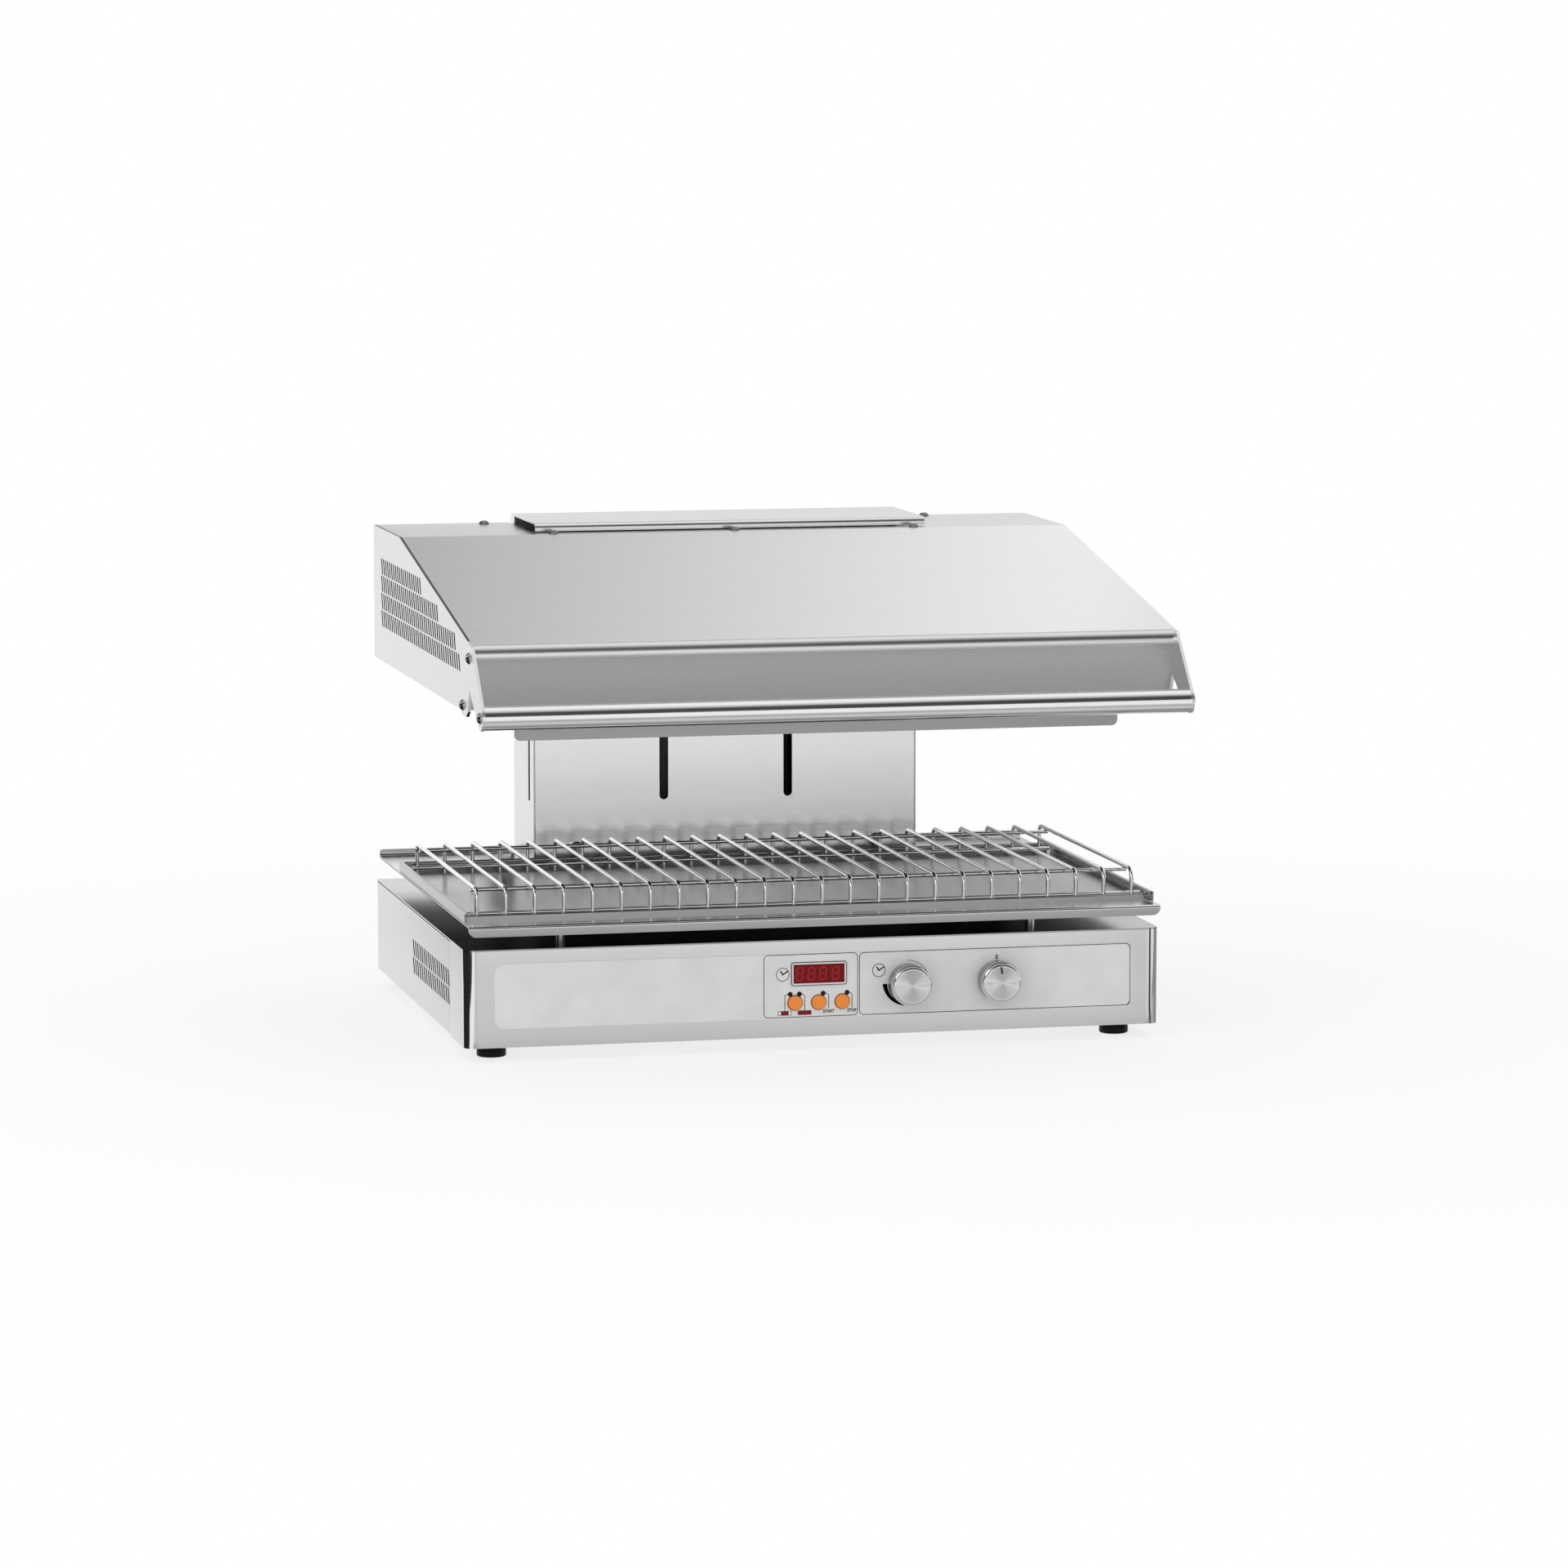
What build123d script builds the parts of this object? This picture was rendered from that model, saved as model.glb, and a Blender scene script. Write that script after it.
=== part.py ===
from build123d import *
import os

# Lift salamander grill: a flat base with controls, a rear column and a hood that slides on the column.
# Millimetres, +Z up, front towards -Y, origin on the floor under the middle of the whole object.

# Whole object
body_width = 600
base_depth = 446
base_height = 81
foot_height = 14
handle_reach = 97
gland_reach = 14
sheet = 1.2
seam = 0.4
running_gap = 0.3
sliding_fit = 0.08
overrun = 5

# Base housing
corner_radius = 9
front_return = 69
front_drop = 1.5
side_flange = 14
cable_hole_radius = 16
base_vent_count = 17
base_vent_rows = 2
base_vent_pitch = 10.9
base_vent_front = 78
base_vent_top = 54

# Slanted vent slots of base and hood
vent_width = 5.4
vent_height = 14
vent_lean = 5.2
vent_row_pitch = 15.4

# Feet
foot_radius = 12.5
foot_top_radius = 10.5
foot_rim = 5
foot_round = 1.5
foot_inset_x = 29
foot_inset_y = 38
stud_radius = 4
stud_length = 9

# Control panel
overlay_margin = 25
overlay_height = 54.5
overlay_thickness = 0.6
overlay_radius = 9
panel_rise = 41.7
display_width = 48
display_height = 20
display_x = 2
display_rise = 52
display_proud = 1
lens_set_back_share = 0.5
bezel_width = 1.9
window_flange = 3
window_flange_thickness = 1.6
button_radius = 6
button_proud = 2
button_round_share = 0.25
button_pitch = 20.4
button_x = 1.8
button_rise = 27.6
button_travel = 1
button_cap = 4.5
button_stem_radius = 2

# Boards behind the panel
board_thickness = 1.6
board_width = 92
board_height = 50
board_setback = 16
standoff_radius = 3
standoff_inset = 6
display_module_depth = 8
tact_size = 6
tact_depth = 4

# Knobs and their switches
knob_radius = 17.4
knob_height = 20
knob_edge = 3.6
knob_recess_radius = 6.5
knob_recess_depth = 3.5
knob_skirt_height = 3
knob_skirt_cut = 1
knob_pitch = 78
knob_inset = 143.4
knob_rise = 41.2
shaft_radius = 3
shaft_inset = 6
shaft_depth = 14
bushing_radius = 4.8
bushing_proud = 3
switch_size = 32
switch_depth = 26
switch_edge = 3

# Mains parts in the base
gland_inset = 100
gland_rise = 40
gland_hex_radius = 11
gland_hex_thickness = 5
gland_thread_radius = 8
gland_thread_length = 9
gland_dome_radius = 9
gland_bore_radius = 4
gland_nut_thickness = 4
terminal_width = 60
terminal_depth = 24
terminal_height = 22
terminal_count = 5
terminal_pocket = 8
terminal_setback = 60
power_board_width = 140
power_board_depth = 90
power_board_x = 60
power_board_y = 210
power_standoff_height = 8
relay_width = 28
relay_depth = 16
relay_height = 20
relay_pitch = 36
relay_count = 3

# Posts and carrier plate
post_radius = 4
post_inset = 95
post_front = 71
post_rear_inset = 146
carrier_rise = 21
carrier_sheet = 1.5
carrier_reach = 10
carrier_lip = 8.7
carrier_back_lip = 6
carrier_bend = 2.5
carrier_corner = 6.5
carrier_back_corner = 3
carrier_side_inset = 2
carrier_column_gap = 3

# Drip pan
pan_sheet = 1
pan_inset = 2
pan_front = 11
pan_column_gap = 13
pan_wall = 9
pan_bend = 1.6
hem_width = 4
hem_drop = 4
pan_edge = 26
pan_edge_depth = 3
pan_edge_height = 4.6
pan_edge_round = 1.2

# Wire rack
wire_radius = 1.75
rack_bar_count = 24
rack_inset = 14
rack_front = 31
rack_back_inset = 11
rack_height = 26.3
rack_bend = 7
rail_height = 3.6
rail_overhang = 1.5
low_rail_overhang = 8.5
rail_inset = 22
weld_depth = 0.4

# Column
column_margin = 125
column_depth = 95
column_height = 318
front_slot_share = 0.324
front_slot_width = 8
slot_room_below = 5.5
slot_room_above = 10
side_slot_inset = 20
side_slot_width = 8
cap_overlap = 1.5
cap_overhang = 23
cap_rise = 9.5
cap_lip = 7
cap_front_bend = 4.5
cap_back_bend = 2
cap_tab_depth = 18
stop_inset = 38
stop_rise = 36
stop_radius = 6
stop_length = 6
stop_edge = 1.2

# Lift gear inside the column
lift_travel = 110
rod_radius = 6
rod_inset = 55
rod_setback = 34
bracket_drop = 12
bracket_sheet = 3
bracket_reach = 14
bush_size = 20
bush_height = 24
bush_edge_gap = 4
carriage_inset = 25
carriage_sheet = 3
carriage_height = 80
arm_drop = 11
arm_height = 30
arm_thickness = 5
lug_thickness = 3
spring_inset = 95
spring_setback = 69
spring_radius = 9
spring_floor = 6
spring_room = 6
spring_overlap = 20
spring_rod_radius = 4
spring_lug_width = 24
spring_lug_drop = 6
spring_lug_thickness = 5
spring_lug_reach = 10

# Hood
hood_drop = 114.5
hood_height = 116
hood_plate = 2.5
crease_gap = 43.5
crease_bend = 3
nose_reach = 51.5
nose_drop = 62.5
nose_radius = 9
fascia_foot = 22
tunnel_side_gap = 4
tunnel_front_gap = 5
tunnel_flange = 37
hood_vent_shares = (0.458, 0.631, 0.829, 0.879)
hood_vent_pitch = 10.55
hood_vent_back = 45
hood_vent_drop = 26.5

# Handle
tube_radius = 10
tube_wall = 1.5
tube_plug = 16
arm_width = 23
hood_overhang = 1
arm_nose_reach = 35.5
arm_nose_rise = 44
notch_gap = 6
plate_nose_radius = 5
plate_hang = 2
arm_root_reach = 26
arm_root_rise = 28.5
arm_root_radius = 4
arm_end_radius = 10.5
tab_radius = 8.5
tab_rise = 2.5
tab_front = 18
tab_back = 5

# Button-head screws
screw_head_radius = 4.75
screw_head_height = 2.75
screw_edge_share = 0.25
screw_crown_radius = 2.6
screw_shank_radius = 2.5
screw_shank_length = 8
screw_hole_gap = 0.2
socket_flat = 3
socket_depth = 1.6
top_screw_inset = 12
top_screw_gap = 6.5
top_side_screw_gap = 28
top_side_screw_inset = 12

# Heater inside the hood
heater_inset = 50
heater_reach = 6
heater_back_gap = 33
tray_height = 24
tray_flange = 10
lip_overlap = 8.8
lip_drop = 28
lip_set_back = 13.4
lip_flange = 10
lip_corner = 5
lip_bend = 1.8
element_radius = 4
element_count = 8
element_leg_share = 0.5
element_bend_share = 0.45
element_rise = 9
element_front_gap = 12
element_tail = 16
bead_radius = 6.5
bead_length = 9
support_setback = 70
support_drop = 8
insulation_inset = 5
insulation_height = 20

# Places worked out from the sizes above
half = body_width / 2
front = handle_reach - (handle_reach + base_depth + gland_reach) / 2
back = front + base_depth
base_top = foot_height + base_height
panel_z = foot_height + panel_rise
carrier_top = base_top + carrier_rise
overlay_width = body_width - 2 * overlay_margin
knob_right_x = half - knob_inset
knob_left_x = knob_right_x - knob_pitch
gland_x = gland_inset - half
pan_half_width = half - pan_inset
column_half_width = half - column_margin
column_front = back - column_depth
pan_back = column_front - pan_column_gap
rack_back = pan_back - rack_back_inset
column_top = base_top + column_height
cap_top = column_top + cap_rise
hood_bottom = column_top - hood_drop
hood_top = hood_bottom + hood_height
hood_half = half + hood_overhang
hood_inner = hood_half - hood_plate
tunnel_half = column_half_width + tunnel_side_gap
tunnel_front = column_front - tunnel_front_gap
handle_y = front - handle_reach + arm_width / 2
handle_z = hood_bottom
tray_bottom = hood_bottom + sheet
tray_top = tray_bottom + tray_height
heater_half_width = half - heater_inset
crease_y = column_front - crease_gap
front_slot_x = column_half_width * front_slot_share
side_slot_y = column_front + side_slot_inset
rod_x = column_half_width - rod_inset
rod_y = column_front + rod_setback
arm_z = hood_bottom - arm_drop


def span(x0, x1, y0, y1, z0, z1):
    """A block between two corners."""
    centre = Pos((x0 + x1) / 2, (y0 + y1) / 2, (z0 + z1) / 2)
    return centre * Box(x1 - x0, y1 - y0, z1 - z0)


def along_x(face, x0, x1):
    """A face drawn in Y and Z, drawn out from x0 to x1."""
    return Pos(x0, 0, 0) * extrude(Plane.YZ * face, amount=x1 - x0)


def along_y(face, y0, y1):
    """A face drawn in X and Z, drawn out from y0 to y1."""
    return Pos(0, y0, 0) * extrude(Plane.XZ * face, amount=y0 - y1)


def along_z(face, z0, z1):
    """A face drawn in X and Y, drawn out from z0 to z1."""
    return Pos(0, 0, z0) * extrude(face, amount=z1 - z0)


def upright(radius, x, y, z0, z1):
    """A round bar that stands on end."""
    return Pos(x, y, (z0 + z1) / 2) * Cylinder(radius, z1 - z0)


def bar_x(radius, y, z, x0, x1):
    """A round bar that lies from side to side."""
    return Pos((x0 + x1) / 2, y, z) * Rot(0, 90, 0) * Cylinder(radius, x1 - x0)


def bar_y(radius, x, z, y0, y1):
    """A round bar that lies from front to back."""
    return Pos(x, (y0 + y1) / 2, z) * Rot(90, 0, 0) * Cylinder(radius, y1 - y0)


def folded(points, bends, thickness, side):
    """The cross-section of a folded sheet whose show face follows the points."""
    path = FilletPolyline(*points, radius=bends)
    return make_face(offset(path, amount=thickness, side=side).edges())


def turned(points):
    """A turned piece about the Z axis, from its half-section in radius and height."""
    return revolve(Plane.XZ * make_face(Polyline(*points, close=True)), Axis.Z)


def slanted_slots(y_first, z_top, counts, pitch):
    """Rows of leaning slots, from the first slot of each row towards the front."""
    slots = Sketch()
    for row, count in enumerate(counts):
        top = z_top - row * vent_row_pitch
        for column in range(count):
            y = y_first - column * pitch
            corners = (
                (y, top),
                (y - vent_lean, top - vent_height),
                (y - vent_lean + vent_width, top - vent_height),
                (y + vent_width, top),
            )
            slots += make_face(Polyline(*corners, close=True))
    return slots


def save(node, *solids):
    """Writes one node, of one solid or of several like solids."""
    shape = solids[0] if len(solids) == 1 else Compound([s for part in solids for s in part.solids()])
    export_step(shape, f"parts/{node}.step")


os.makedirs("parts", exist_ok=True)

# Base front panel: wraps round both front corners, with holes for window, buttons and knob bushings
button_xs = [button_x + step * button_pitch for step in (-1, 0, 1)]
knob_xs = (knob_left_x, knob_right_x)
display_z = foot_height + display_rise
button_z = foot_height + button_rise
knob_z = foot_height + knob_rise
panel_holes = Pos(display_x, display_z) * Rectangle(display_width, display_height)
for x in button_xs:
    panel_holes += Pos(x, button_z) * Circle(button_radius + running_gap)
for x in knob_xs:
    panel_holes += Pos(x, knob_z) * Circle(bushing_radius + running_gap)
wrap_points = (
    (-half, front + front_return),
    (-half, front),
    (half, front),
    (half, front + front_return),
)
wrap = folded(wrap_points, corner_radius, sheet, Side.LEFT)
front_panel = along_z(wrap, foot_height - front_drop, base_top - sheet)
save("base_front_panel", front_panel - along_y(panel_holes, front - overrun, front + sheet + overrun))

# Base side panels: flanged under the top plate, with slanted vents
side_points = (
    (half, foot_height),
    (half, base_top - sheet),
    (half - side_flange, base_top - sheet),
)
side_section = folded(side_points, 2 * sheet, sheet, Side.LEFT)
base_vent_first = front + base_vent_front + (base_vent_count - 1) * base_vent_pitch
base_vents = slanted_slots(
    base_vent_first, foot_height + base_vent_top, [base_vent_count] * base_vent_rows, base_vent_pitch
)
side_panel = along_y(side_section, front + front_return + seam, back - sheet)
side_panel -= along_x(base_vents, half - sheet - overrun, half + overrun)
save("base_side_right", side_panel)
save("base_side_left", mirror(side_panel, about=Plane.YZ))

# Base back panel, with the hole for the cable gland
gland_z = foot_height + gland_rise
back_panel = span(-half, half, back - sheet, back, foot_height, base_top - sheet)
gland_hole = bar_y(gland_thread_radius + running_gap, gland_x, gland_z, front, back + overrun)
save("base_back_panel", back_panel - gland_hole)

# Base top plate, with the cable way up into the column
top_plate = span(-half, half, front, back, base_top - sheet, base_top)
front_corners = top_plate.edges().filter_by(Axis.Z).group_by(Axis.Y)[0]
top_plate = fillet(front_corners, corner_radius)
cable_hole_y = (column_front + back) / 2
save("base_top_plate", top_plate - upright(cable_hole_radius, 0, cable_hole_y, foot_height, base_top + overrun))

# Base bottom plate and the four feet that screw into it
foot_places = [
    (x, y)
    for x in (-half + foot_inset_x, half - foot_inset_x)
    for y in (front + foot_inset_y, back - foot_inset_y)
]
bottom_plate = span(-half + sheet, half - sheet, front + sheet, back - sheet, foot_height, foot_height + sheet)
bottom_corners = bottom_plate.edges().filter_by(Axis.Z).group_by(Axis.Y)[0]
bottom_plate = fillet(bottom_corners, corner_radius)
for x, y in foot_places:
    bottom_plate -= upright(stud_radius + running_gap, x, y, 0, base_top)
save("base_bottom_plate", bottom_plate)
foot_section = (
    (0, 0),
    (foot_radius, 0),
    (foot_radius, foot_rim),
    (foot_top_radius, foot_height),
    (stud_radius, foot_height),
    (stud_radius, foot_height + stud_length),
    (0, foot_height + stud_length),
)
foot = turned(foot_section)
foot = fillet(foot.edges().filter_by(GeomType.CIRCLE).sort_by(SortBy.RADIUS)[-2:], foot_round)
save("feet", *[Pos(x, y, 0) * foot for x, y in foot_places])

# Control overlay on the front panel
overlay = Pos(0, panel_z) * RectangleRounded(overlay_width, overlay_height, overlay_radius)
save("control_overlay", along_y(overlay - panel_holes, front - overlay_thickness, front))

# Display window: a red lens in a bezel, pressed through the panel from behind
window_back = front + sheet
window_face = Pos(display_x, display_z) * Rectangle(
    display_width - 2 * running_gap, display_height - 2 * running_gap
)
lens_face = Pos(display_x, display_z) * Rectangle(
    display_width - 2 * bezel_width, display_height - 2 * bezel_width
)
flange_face = Pos(display_x, display_z) * Rectangle(
    display_width + 2 * window_flange, display_height + 2 * window_flange
)
window_proud = front - overlay_thickness - display_proud
bezel = along_y(window_face, window_proud, window_back)
bezel += along_y(flange_face, window_back, window_back + window_flange_thickness)
save("display_bezel", bezel - along_y(lens_face, front - overrun, front + overrun))
lens_back = window_back + window_flange_thickness
save("display_lens", along_y(lens_face, window_proud + display_proud * lens_set_back_share, lens_back))

# Display board: carries the digits and the key switches, on four standoffs
board_y = front + board_setback
board = span(
    display_x - board_width / 2,
    display_x + board_width / 2,
    board_y,
    board_y + board_thickness,
    panel_z - board_height / 2,
    panel_z + board_height / 2,
)
module_face = Pos(display_x, display_z) * Rectangle(display_width, display_height)
board += along_y(module_face, board_y - display_module_depth, board_y)
for x in button_xs:
    board += along_y(Pos(x, button_z) * Rectangle(tact_size, tact_size), board_y - tact_depth, board_y)
save("display_board", board)
standoffs = [
    bar_y(
        standoff_radius,
        display_x + side * (board_width / 2 - standoff_inset),
        panel_z + level * (board_height / 2 - standoff_inset),
        front + sheet,
        board_y,
    )
    for side in (-1, 1)
    for level in (-1, 1)
]
save("board_standoffs", *standoffs)

# Push buttons: a round cap with a stem that reaches the key switch
button_front = front - overlay_thickness - button_proud
stem_end = board_y - tact_depth - button_travel - running_gap
button_names = ("button_zone", "button_start", "button_stop")
for name, x in zip(button_names, button_xs):
    cap = bar_y(button_radius, x, button_z, button_front, button_front + button_cap)
    cap = fillet(cap.edges().group_by(Axis.Y)[0], button_proud * button_round_share)
    save(name, cap + bar_y(button_stem_radius, x, button_z, button_front + button_cap, stem_end))

# Knobs: turned aluminium with a rounded front edge, each on a shaft that runs in its switch
knob_back = front - overlay_thickness - running_gap
knob_section = (
    (knob_recess_radius, 0),
    (knob_radius - knob_skirt_cut, 0),
    (knob_radius - knob_skirt_cut, knob_skirt_height),
    (knob_radius, knob_skirt_height + knob_skirt_cut),
    (knob_radius, knob_height),
    (0, knob_height),
    (0, knob_height - shaft_inset),
    (shaft_radius, knob_height - shaft_inset),
    (shaft_radius, knob_recess_depth),
    (knob_recess_radius, knob_recess_depth),
)
knob = turned(knob_section)
knob = fillet(knob.edges().filter_by(GeomType.CIRCLE).group_by(Axis.Z)[-1], knob_edge)
knob = Rot(90, 0, 0) * knob
shaft_front = knob_back - knob_height + shaft_inset
switch_face = Rectangle(switch_size, switch_size)
for side, x in (("left", knob_left_x), ("right", knob_right_x)):
    save(f"knob_{side}", Pos(x, knob_back, knob_z) * knob)
    save(f"knob_shaft_{side}", bar_y(shaft_radius, x, knob_z, shaft_front, front + shaft_depth))
    switch_bottom = front + sheet + switch_depth
    body = along_y(Pos(x, knob_z) * switch_face, front + sheet, switch_bottom)
    body = chamfer(body.edges().group_by(Axis.Y)[-1], switch_edge)
    body += bar_y(bushing_radius, x, knob_z, front - bushing_proud, front + sheet)
    bore = bar_y(shaft_radius + sliding_fit, x, knob_z, front - overrun, front + shaft_depth + running_gap)
    save(f"knob_switch_{side}", body - bore)

# Cable gland in the back panel, with its nut inside
gland_section = (
    (gland_bore_radius, -gland_thread_length),
    (gland_thread_radius, -gland_thread_length),
    (gland_thread_radius, gland_hex_thickness),
    (gland_dome_radius, gland_hex_thickness),
    (gland_dome_radius, gland_reach - gland_bore_radius),
    (gland_bore_radius + sheet, gland_reach),
    (gland_bore_radius, gland_reach),
)
hexagon = RegularPolygon(gland_hex_radius, 6) - Circle(gland_thread_radius)
gland_place = Pos(gland_x, back, gland_z) * Rot(-90, 0, 0)
gland = turned(gland_section) + along_z(hexagon, 0, gland_hex_thickness)
save("cable_gland", gland_place * gland)
save("gland_nut", gland_place * along_z(hexagon, -sheet - gland_nut_thickness, -sheet))

# Terminal block and power board on the bottom plate
floor_z = foot_height + sheet
terminal_y = back - terminal_setback
terminal = span(
    gland_x - terminal_width / 2,
    gland_x + terminal_width / 2,
    terminal_y - terminal_depth / 2,
    terminal_y + terminal_depth / 2,
    floor_z,
    floor_z + terminal_height,
)
terminal_pitch = terminal_width / terminal_count
for step in range(terminal_count):
    pocket_x = gland_x + (step - (terminal_count - 1) / 2) * terminal_pitch
    pocket_top = floor_z + terminal_height
    terminal -= Pos(pocket_x, terminal_y, pocket_top) * Box(terminal_pocket, terminal_pocket, terminal_pocket)
save("terminal_block", terminal)
power_z = floor_z + power_standoff_height
power_y = front + power_board_y
power_board = span(
    power_board_x - power_board_width / 2,
    power_board_x + power_board_width / 2,
    power_y - power_board_depth / 2,
    power_y + power_board_depth / 2,
    power_z,
    power_z + board_thickness,
)
relay_z = power_z + board_thickness + relay_height / 2
for step in range(relay_count):
    relay_x = power_board_x + (step - (relay_count - 1) / 2) * relay_pitch
    power_board += Pos(relay_x, power_y, relay_z) * Box(relay_width, relay_depth, relay_height)
save("power_board", power_board)
power_standoffs = [
    upright(
        standoff_radius,
        power_board_x + side * (power_board_width / 2 - standoff_inset),
        power_y + end * (power_board_depth / 2 - standoff_inset),
        floor_z,
        power_z,
    )
    for side in (-1, 1)
    for end in (-1, 1)
]
save("power_standoffs", *power_standoffs)

# Posts that carry the carrier plate
carrier_bottom = carrier_top - carrier_sheet
post_x = half - post_inset
post_places = [(x, y) for x in (-post_x, post_x) for y in (front + post_front, back - post_rear_inset)]
save("posts", *[upright(post_radius, x, y, base_top, carrier_bottom) for x, y in post_places])

# Carrier plate: front lip turned down, rear lips turned up on both sides of the column
carrier_points = (
    (front - carrier_reach, carrier_top - carrier_lip),
    (front - carrier_reach, carrier_top),
    (back - carrier_sheet, carrier_top),
    (back - carrier_sheet, carrier_top + carrier_back_lip),
)
carrier_section = folded(carrier_points, carrier_bend, carrier_sheet, Side.RIGHT)
carrier = along_x(carrier_section, carrier_side_inset - half, half - carrier_side_inset)
carrier_cut = column_half_width + carrier_column_gap
carrier -= span(
    -carrier_cut,
    carrier_cut,
    column_front - carrier_column_gap,
    back + overrun,
    base_top,
    cap_top,
)
lip_corners = carrier.edges().filter_by(Axis.Y).filter_by(lambda edge: edge.length < 2 * carrier_sheet)
carrier = fillet(lip_corners.filter_by(lambda edge: edge.center().Y < column_front), carrier_corner)
lip_corners = carrier.edges().filter_by(Axis.Y).filter_by(lambda edge: edge.length < 2 * carrier_sheet)
lip_corners = lip_corners.filter_by(lambda edge: edge.center().Y > column_front and edge.center().Z > carrier_top)
save("carrier_plate", fillet(lip_corners, carrier_back_corner))

# Drip pan: hemmed walls at both sides and at the back, a rolled front edge
pan_bottom = carrier_top
pan_top = pan_bottom + pan_wall
pan_inner = pan_half_width - hem_width
pan_points = (
    (-pan_inner, pan_top - hem_drop),
    (-pan_inner, pan_top),
    (-pan_half_width, pan_top),
    (-pan_half_width, pan_bottom),
    (pan_half_width, pan_bottom),
    (pan_half_width, pan_top),
    (pan_inner, pan_top),
    (pan_inner, pan_top - hem_drop),
)
pan = along_y(folded(pan_points, pan_bend, pan_sheet, Side.LEFT), front + pan_front, pan_back)
pan -= span(-pan_inner, pan_inner, front, front + pan_edge, pan_bottom - overrun, pan_top + overrun)
edge_face = Pos(front + pan_edge + pan_edge_depth / 2, pan_bottom + pan_edge_height / 2) * RectangleRounded(
    pan_edge_depth, pan_edge_height, pan_edge_round
)
pan += along_x(edge_face, -pan_inner, pan_inner)
pan_back_points = (
    (pan_back - hem_width, pan_top - hem_drop),
    (pan_back - hem_width, pan_top),
    (pan_back, pan_top),
    (pan_back, pan_bottom),
)
pan_back_wall = folded(pan_back_points, pan_bend, pan_sheet, Side.RIGHT)
pan += along_x(pan_back_wall, -pan_inner, pan_inner)
save("drip_pan", pan)

# Wire rack: cross wires bent down at both ends, welded to four long wires
rack_foot = pan_bottom + pan_sheet + running_gap
bar_z = rack_foot + rack_height - wire_radius
bar_path = Plane.YZ * FilletPolyline(
    (front + rack_front, rack_foot),
    (front + rack_front, bar_z),
    (rack_back, bar_z),
    (rack_back, rack_foot),
    radius=rack_bend,
)
bar = sweep(Plane(bar_path @ 0, z_dir=bar_path % 0) * Circle(wire_radius), bar_path)
rack_half = pan_half_width - rack_inset
rack_bar_pitch = 2 * rack_half / (rack_bar_count - 1)
bar_xs = [step * rack_bar_pitch - rack_half for step in range(rack_bar_count)]
save("rack_bars", *[Pos(x, 0, 0) * bar for x in bar_xs])
rail_reach = bar_xs[-1] + rail_overhang
low_reach = bar_xs[-1] + low_rail_overhang
rail_step = 2 * wire_radius - weld_depth
rails = []
for leg_y, inward in ((front + rack_front, 1), (rack_back, -1)):
    low_y = leg_y + inward * rail_step
    high_y = leg_y + inward * rail_inset
    rails.append(bar_x(wire_radius, low_y, rack_foot + rail_height, -low_reach, low_reach))
    rails.append(bar_x(wire_radius, high_y, bar_z - rail_step, -rail_reach, rail_reach))
save("rack_rails", *rails)

# Column: a folded shell with a slot in each side, a front sheet with two slots, and a cap
shell_points = (
    (-column_half_width, column_front),
    (-column_half_width, back),
    (column_half_width, back),
    (column_half_width, column_front),
)
slot_bottom = arm_z - lift_travel - slot_room_below
slot_top = arm_z + arm_height + slot_room_above
column_shell = along_z(folded(shell_points, 2 * sheet, sheet, Side.RIGHT), base_top, column_top)
column_shell -= span(
    -half,
    half,
    side_slot_y - side_slot_width / 2,
    side_slot_y + side_slot_width / 2,
    slot_bottom,
    slot_top,
)
save("column_shell", column_shell)
column_face = column_half_width - sheet - seam
column_sheet = span(-column_face, column_face, column_front, column_front + sheet, base_top, column_top)
slot_length = slot_top - slot_bottom
slot = Rot(0, 0, 90) * SlotOverall(slot_length, front_slot_width)
for x in (-front_slot_x, front_slot_x):
    place = Pos(x, (slot_bottom + slot_top) / 2)
    column_sheet -= along_y(place * slot, column_front - overrun, column_front + overrun)
save("column_front", column_sheet)
cap_front = column_front - cap_overhang
cap_half_width = column_half_width + cap_overlap
cap_points = (
    (cap_front, cap_top - cap_lip),
    (cap_front, cap_top),
    (back, cap_top),
    (back, column_top),
)
cap_section = folded(cap_points, (cap_front_bend, cap_back_bend), sheet, Side.RIGHT)
cap = along_x(cap_section, -cap_half_width, cap_half_width)
for x0, x1 in ((-cap_half_width, sheet - cap_half_width), (cap_half_width - sheet, cap_half_width)):
    cap += span(x0, x1, back - cap_tab_depth, back - sheet, column_top, cap_top - sheet)
save("column_cap", cap)
stop_x = column_half_width - stop_inset
stops = []
for x in (-stop_x, stop_x):
    stop = bar_y(stop_radius, x, base_top + stop_rise, column_front - stop_length, column_front)
    stops.append(chamfer(stop.edges().group_by(Axis.Y)[0], stop_edge))
save("rack_stops", *stops)

# Guide rods, their top bracket and the gas spring cylinders
bracket_top = column_top - bracket_drop
bracket_half = column_face - 2 * sheet
bracket = span(
    -bracket_half,
    bracket_half,
    rod_y - bracket_reach,
    back - sheet,
    bracket_top - bracket_sheet,
    bracket_top,
)
for x in (-rod_x, rod_x):
    bracket -= upright(rod_radius, x, rod_y, base_top, cap_top)
save("rod_bracket", bracket)
save("guide_rods", *[upright(rod_radius, x, rod_y, base_top, bracket_top) for x in (-rod_x, rod_x)])
spring_x = column_half_width - spring_inset
spring_y = column_front + spring_setback
spring_rod_end = base_top + spring_floor + lift_travel + spring_room
spring_top = spring_rod_end + spring_overlap
cylinders = []
for x in (-spring_x, spring_x):
    cylinder = upright(spring_radius, x, spring_y, base_top, spring_top)
    cylinder -= upright(spring_rod_radius + sliding_fit, x, spring_y, base_top + spring_floor, cap_top)
    cylinders.append(cylinder)
save("gas_spring_cylinders", *cylinders)

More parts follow.
